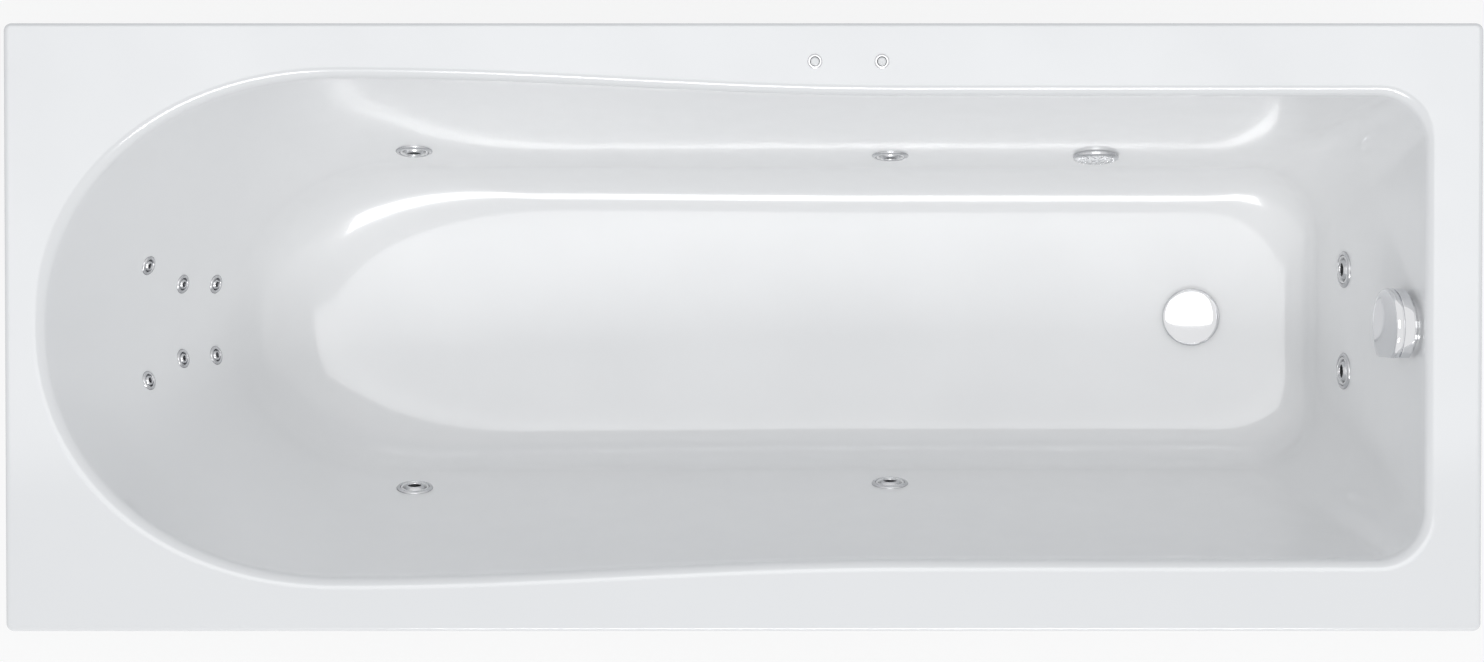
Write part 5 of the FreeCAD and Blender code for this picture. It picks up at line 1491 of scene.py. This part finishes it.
@dataclass
class Plumbing:
    """Ribs and clamps on the hoses behind the shell, sizes in millimetres.

    Args:
        finish: the materials.
        repeat: the Geometry Nodes trees.
        spigot: length of the suction body's spigot.
        grip: how far the hose grips it.
        rear: the hose's corners behind the shell, up to the pump.
        suction_bends: its bend radii.
        inlet: reach and height of the trap's inlet.
        overflow_bend: bend radius of the overflow hose.
        suction_radius: outer radius of the suction hose.
        overflow_radius: outer radius of the overflow hose.
    """

    finish: Finisher
    repeat: Repeater
    spigot: float = 50
    grip: float = 17
    rear: tuple[Size, ...] = ((-635, 294, 235), (-765, 294, 246), (-765, 206, 246))
    suction_bends: tuple[float, ...] = (110, 130, 220, 62)
    inlet: tuple[float, float] = (51, 156)
    overflow_bend: float = 50
    suction_radius: float = 22.0
    overflow_radius: float = 16.0

    @staticmethod
    def bent(points: Sequence[tuple[float, float, float]], bends: Sequence[float]) -> Loop:
        """A line in millimetres with round corners, as points in metres.

        Args:
            points: the corners, with both ends.
            bends: bend radius at each inner corner.

        Returns:
            The points.
        """
        line = [Vector(point) for point in points]
        found = [line[0]]
        for index, bend in enumerate(bends, 1):
            here = line[index]
            back = (line[index - 1] - here).normalized()
            ahead = (line[index + 1] - here).normalized()
            half = back.angle(ahead) / 2
            if math.pi / 2 - half < 0.02:
                found.append(here)
                continue
            reach = bend / math.tan(half)
            centre = here + (back + ahead).normalized() * (bend / math.sin(half))
            start = here + back * reach - centre
            end = here + ahead * reach - centre
            sweep = start.angle(end)
            for share in spread(0.0, 1.0, 12):
                weight = math.sin(sweep)
                found.append(centre + start * (math.sin((1 - share) * sweep) / weight)
                             + end * (math.sin(share * sweep) / weight))
        found.append(line[-1])
        return [point * MM for point in found]

    @staticmethod
    def trimmed(path: Loop, start: float, end: float) -> Loop:
        """The path without its ends, in metres.

        Args:
            path: the path.
            start: what its start loses.
            end: what its end loses.

        Returns:
            The points.
        """
        kept = []
        run = 0.0
        total = sum((b - a).length for a, b in zip(path, path[1:]))
        for first, second in zip(path, path[1:]):
            step = (second - first).length
            pieces = max(int(step / 0.004), 1)
            for index in range(pieces):
                if start <= run + step * index / pieces <= total - end:
                    kept.append(first.lerp(second, index / pieces))
            run += step
        return kept

    def clamp(self, target: bmesh.types.BMesh, end: Vector, towards: Vector,
              radius: float) -> None:
        """A band with a screw housing round a hose end.

        Args:
            target: the mesh that it is added to.
            end: the hose's end.
            towards: the hose's next point.
            radius: the hose's radius in millimetres.
        """
        normal = (towards - end).normalized()
        upright = Vector((0, 0, 1)) if abs(normal.z) < 0.9 else Vector((0, 1, 0))
        upright = (upright - normal * upright.dot(normal)).normalized()
        place = placement(end + normal * 0.008, normal, upright)
        lathe([(radius - 0.1, -4.5), (radius + 0.6, -4.5), (radius + 0.9, -4.1),
               (radius + 0.9, 4.1), (radius + 0.6, 4.5), (radius - 0.1, 4.5)], place, target,
              steps=64)
        housing = place @ Matrix.Translation((0, (radius + 2.6) * MM, 0))
        bmesh.ops.create_cube(target, size=1.0,
                              matrix=housing @ Matrix.Diagonal((0.013, 0.004, 0.008, 1)))
        screw = housing @ Matrix.Translation((0.004, 0.0008, 0)) @ Matrix.Rotation(
            math.pi / 2, 4, "Y")
        lathe([(0, 0), (3, 0), (3.2, 0.6), (3.2, 4.6), (2.8, 5.2), (0, 5.2)], screw, target,
              steps=20, closed=False)

    def suction_line(self, place: Matrix) -> Loop:
        """The line of the hose from the suction body to the pump.

        Args:
            place: place of the suction cover.

        Returns:
            The points.
        """
        end = (place @ Vector((0, 0, -0.034))) * 1000 + Vector((-self.spigot, 0, 0))
        first = self.rear[0]
        return self.bent([end + Vector((self.grip, 0, 0)), Vector((end.x - 45, end.y, end.z)),
                          (end.x - 145, first[1], first[2]), *self.rear], self.suction_bends)

    def overflow_line(self, place: Matrix, waste_x: float) -> Loop:
        """The line of the hose from the overflow body to the trap.

        Args:
            place: place of the overflow knob.
            waste_x: the waste's place along the tub, in metres.

        Returns:
            The points.
        """
        top = (place @ Vector((0, 0, -0.038))) * 1000
        reach, level = self.inlet
        inlet = Vector((waste_x * 1000 + reach, 0, level))
        return self.bent([top - Vector((0, 0, 35)), Vector((top.x, 0, inlet.z)), inlet],
                         [self.overflow_bend])

    def build(self, suction: Loop, overflow: Loop) -> None:
        """Builds the ribs of both hoses and the clamps at their ends.

        Args:
            suction: the suction hose's line.
            overflow: the overflow hose's line.
        """
        hose = self.finish[Look.HOSE]
        ribs = self.repeat.ribs("suction_hose_ribs", self.trimmed(suction, 0.034, 0.034), 9.0,
                                21.9, 1.1, hose)
        settle(ribs, "tub", Look.HOSE)
        folds = self.repeat.ribs("overflow_hose_ribs", self.trimmed(overflow, 0.024, 0.022),
                                 5.2, self.overflow_radius, 1.6, self.finish[Look.GREY])
        settle(folds, "tub", Look.GREY)
        clamps = bmesh.new()
        for path, radius in ((suction, self.suction_radius),
                             (overflow, self.overflow_radius)):
            self.clamp(clamps, path[0], path[1], radius)
            self.clamp(clamps, path[-1], path[-2], radius)
        settle(finished("hose_clamps", clamps, self.finish[Look.ZINC]), "tub", Look.ZINC)


@dataclass
class Fixings:
    """Screws that hold the board, the rim supports and the control box.

    Args:
        finish: the materials.
        board_x: places along the board, in metres as the others.
        board_y: distance of the board's screws from the middle.
        box_inset: distance of the box's screws from its corners.
        support_x: places of the rim supports.
        support_inset: distance of their screws from their outer face.
        support_z: heights of their screws.
    """

    finish: Finisher
    board_x: tuple[float, ...] = (-0.34, -0.12, 0.17, 0.33, 0.55)
    board_y: float = 0.105
    box_inset: float = 0.012
    support_x: Size = (-0.48, 0.06, 0.70)
    support_inset: float = 0.025
    support_z: tuple[float, float] = (0.24, 0.56)

    @staticmethod
    def screw(target: bmesh.types.BMesh, place: Matrix, radius: float) -> None:
        """A hexagon head on a washer.

        Args:
            target: the mesh that it is added to.
            place: where it sits.
            radius: the head's radius in millimetres.
        """
        lathe([(0, 0), (radius * 1.7, 0), (radius * 1.7, 0.9), (radius * 1.1, 1.0), (0, 1.0)],
              place, target, steps=32, closed=False)
        lathe([(0, 0.9), (radius, 0.9), (radius, 3.6), (radius * 0.8, 4.4), (0, 4.5)], place,
              target, steps=6, closed=False)

    def build(self) -> None:
        """Builds all the screws in one mesh."""
        made = bmesh.new()
        under_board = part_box("base_board")[0].z
        up, across = Vector((0, 0, 1)), Vector((0, 1, 0))
        for x in self.board_x:
            for y in (-self.board_y, self.board_y):
                self.screw(made, placement(Vector((x, y, under_board)), -up, across), 4.0)
        low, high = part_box("control_box")
        for x in (low.x + self.box_inset, high.x - self.box_inset):
            for z in (low.z + self.box_inset, high.z - self.box_inset):
                self.screw(made, placement(Vector((x, low.y, z)), -across, up), 2.4)
        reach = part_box("rim_supports")[1].y - self.support_inset
        for x in self.support_x:
            for side in (1, -1):
                for z in self.support_z:
                    self.screw(made, placement(Vector((x, side * reach, z)), across * -side, up),
                               3.2)
        settle(finished("fixings", made, self.finish[Look.ZINC]), "tub", Look.ZINC)


@dataclass
class KeptNodes:
    """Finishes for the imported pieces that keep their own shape.

    Args:
        finish: the materials.
    """

    finish: Finisher

    def build(self) -> None:
        """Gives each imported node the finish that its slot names."""
        slots = {item["node"]: item["material_slot"] for item in frame["record"]["subparts"]}
        looks = {look.value: look for look in Look}
        for name, piece in frame["nodes"].items():
            look = looks[slots[name]]
            for slot in piece.material_slots:
                slot.material = self.finish[look]
            log.info("%s: packed piece in %s", name, look.value)


# ---------------------------------------------------------------- studio

@dataclass(frozen=True)
class Lamp:
    """A soft rectangular lamp.

    Args:
        name: its name.
        place: where it hangs, in metres.
        aim: the point that it faces.
        size: its length and width.
        power: watts.
    """

    name: str
    place: Size
    aim: Size
    size: tuple[float, float]
    power: float


@dataclass
class Studio:
    """Pale floor, soft lights and the camera over the rim.

    Args:
        rim_height: height of the rim above the floor, in metres.
        floor_glow: how far the floor is lifted towards white where it is seen.
        floor_reach: half the floor's width.
        room_strength: how much the room lights.
        lamps: the lamps.
        lens: the camera's focal length in millimetres.
        camera_height: how far the camera is above the rim.
        camera_x: its place along the tub.
        camera_y: its place across the tub.
        aim_y: the point across the tub that it looks at.
    """

    rim_height: float
    floor_glow: float = 0.85
    floor_reach: float = 30.0
    room_strength: float = 0.5
    lamps: tuple[Lamp, ...] = (
        Lamp("key", (0.3, -3.4, 4.6), (0.0, 0.1, 0.4), (2.1, 1.1), 76.0),
        Lamp("fill", (0.0, 0.9, 7.5), (0.0, 0.0, 0.4), (5.0, 3.0), 78.0))
    lens: float = 126.6
    camera_height: float = 6.0
    camera_x: float = -0.0017
    camera_y: float = 0.2
    aim_y: float = -0.0037

    @staticmethod
    def _hang(lamp: Lamp) -> None:
        """Adds one lamp to the scene.

        Args:
            lamp: the lamp.
        """
        data = bpy.data.lights.new(lamp.name, "AREA")
        data.shape = "RECTANGLE"
        data.size, data.size_y = lamp.size
        data.energy = lamp.power
        hung = bpy.data.objects.new(lamp.name, data)
        hung.location = lamp.place
        sight = Vector(lamp.aim) - Vector(lamp.place)
        hung.rotation_euler = sight.to_track_quat("-Z", "Y").to_euler()
        bpy.context.scene.collection.objects.link(hung)

    @staticmethod
    def _seen(tree: bpy.types.NodeTree) -> bpy.types.NodeSocket:
        """1 for what the camera, a reflection or a clear piece sees, 0 for light.

        Args:
            tree: where the nodes are made.

        Returns:
            The socket.
        """
        ray = tree.nodes.new("ShaderNodeLightPath")
        seen = ray.outputs["Is Camera Ray"]
        for other in ("Is Glossy Ray", "Is Transmission Ray"):
            either = tree.nodes.new("ShaderNodeMath")
            either.operation = "MAXIMUM"
            tree.links.new(seen, either.inputs[0])
            tree.links.new(ray.outputs[other], either.inputs[1])
            seen = either.outputs[0]
        return seen

    def _world(self) -> None:
        """A dim room that is seen as white."""
        world = bpy.data.worlds.new("studio")
        world.use_nodes = True
        tree = world.node_tree
        tree.nodes.clear()
        room = tree.nodes.new("ShaderNodeBackground")
        room.inputs["Color"].default_value = (0.93, 0.96, 1.0, 1.0)
        room.inputs["Strength"].default_value = self.room_strength
        white = tree.nodes.new("ShaderNodeBackground")
        white.inputs["Strength"].default_value = 1.0
        white.inputs["Color"].default_value = (1.0, 1.0, 1.0, 1.0)
        mix = tree.nodes.new("ShaderNodeMixShader")
        out = tree.nodes.new("ShaderNodeOutputWorld")
        tree.links.new(self._seen(tree), mix.inputs[0])
        tree.links.new(room.outputs[0], mix.inputs[1])
        tree.links.new(white.outputs[0], mix.inputs[2])
        tree.links.new(mix.outputs[0], out.inputs["Surface"])
        bpy.context.scene.world = world

    def _floor(self) -> None:
        """A pale floor that is seen nearer white, with the tub's shadow on it."""
        mesh = bpy.data.meshes.new("floor")
        reach = self.floor_reach
        mesh.from_pydata([(-reach, -reach, 0), (reach, -reach, 0), (reach, reach, 0),
                          (-reach, reach, 0)], [], [(0, 1, 2, 3)])
        floor = bpy.data.objects.new("floor", mesh)
        bpy.context.scene.collection.objects.link(floor)
        material = bpy.data.materials.new("floor_paint")
        material.use_nodes = True
        shader = material.node_tree.nodes["Principled BSDF"]
        shader.inputs["Base Color"].default_value = (0.9, 0.9, 0.9, 1.0)
        shader.inputs["Roughness"].default_value = 0.9
        tree = material.node_tree
        glow = tree.nodes.new("ShaderNodeEmission")
        share = tree.nodes.new("ShaderNodeMath")
        share.operation = "MULTIPLY"
        share.inputs[1].default_value = self.floor_glow
        mix = tree.nodes.new("ShaderNodeMixShader")
        tree.links.new(self._seen(tree), share.inputs[0])
        tree.links.new(share.outputs[0], mix.inputs[0])
        tree.links.new(shader.outputs[0], mix.inputs[1])
        tree.links.new(glow.outputs[0], mix.inputs[2])
        tree.links.new(mix.outputs[0], tree.nodes["Material Output"].inputs["Surface"])
        mesh.materials.append(material)

    def build(self) -> None:
        """Builds the room, the floor, the lamps and the camera."""
        self._world()
        self._floor()
        for lamp in self.lamps:
            self._hang(lamp)
        self._camera()
        bpy.context.scene.view_settings.view_transform = "Standard"

    def _camera(self) -> None:
        """The camera, which looks down on the rim with the tub's length level."""
        data = bpy.data.cameras.new("camera")
        data.sensor_width = 36.0
        data.lens = self.lens
        camera = bpy.data.objects.new("camera", data)
        camera.location = (self.camera_x, self.camera_y, self.rim_height + self.camera_height)
        aim = Vector((self.camera_x, self.aim_y, self.rim_height)) - camera.location
        right = Vector((1, 0, 0))
        upward = right.cross(aim).normalized()
        turn = Matrix((right, upward, -aim.normalized())).transposed()
        camera.rotation_euler = turn.to_euler()
        bpy.context.scene.collection.objects.link(camera)
        bpy.context.scene.camera = camera


# ---------------------------------------------------------------- build


def main() -> None:
    """Builds the whole visual model in order."""
    logging.basicConfig(level=logging.INFO)
    form = BasinForm()
    fittings = Fittings(form)
    finish = Finisher()
    repeat = Repeater()
    KeptNodes(finish).build()
    BathShell(form, finish, fittings.holes()).build()
    SideJets(fittings.jets(), finish, repeat).build()
    BackJets(fittings.backs(), finish).build()
    SuctionCover(fittings.suction(), finish, repeat).build()
    WasteSet(fittings.waste(), finish, repeat).build()
    OverflowKnob(fittings.overflow(), finish).build()
    PushButtons(fittings.buttons(), finish).build()
    plumbing = Plumbing(finish, repeat)
    plumbing.build(plumbing.suction_line(fittings.suction()),
                   plumbing.overflow_line(fittings.overflow(), fittings.waste_x))
    Fixings(finish).build()
    Studio(form.rim_height).build()


if __name__ == "__main__":
    main()
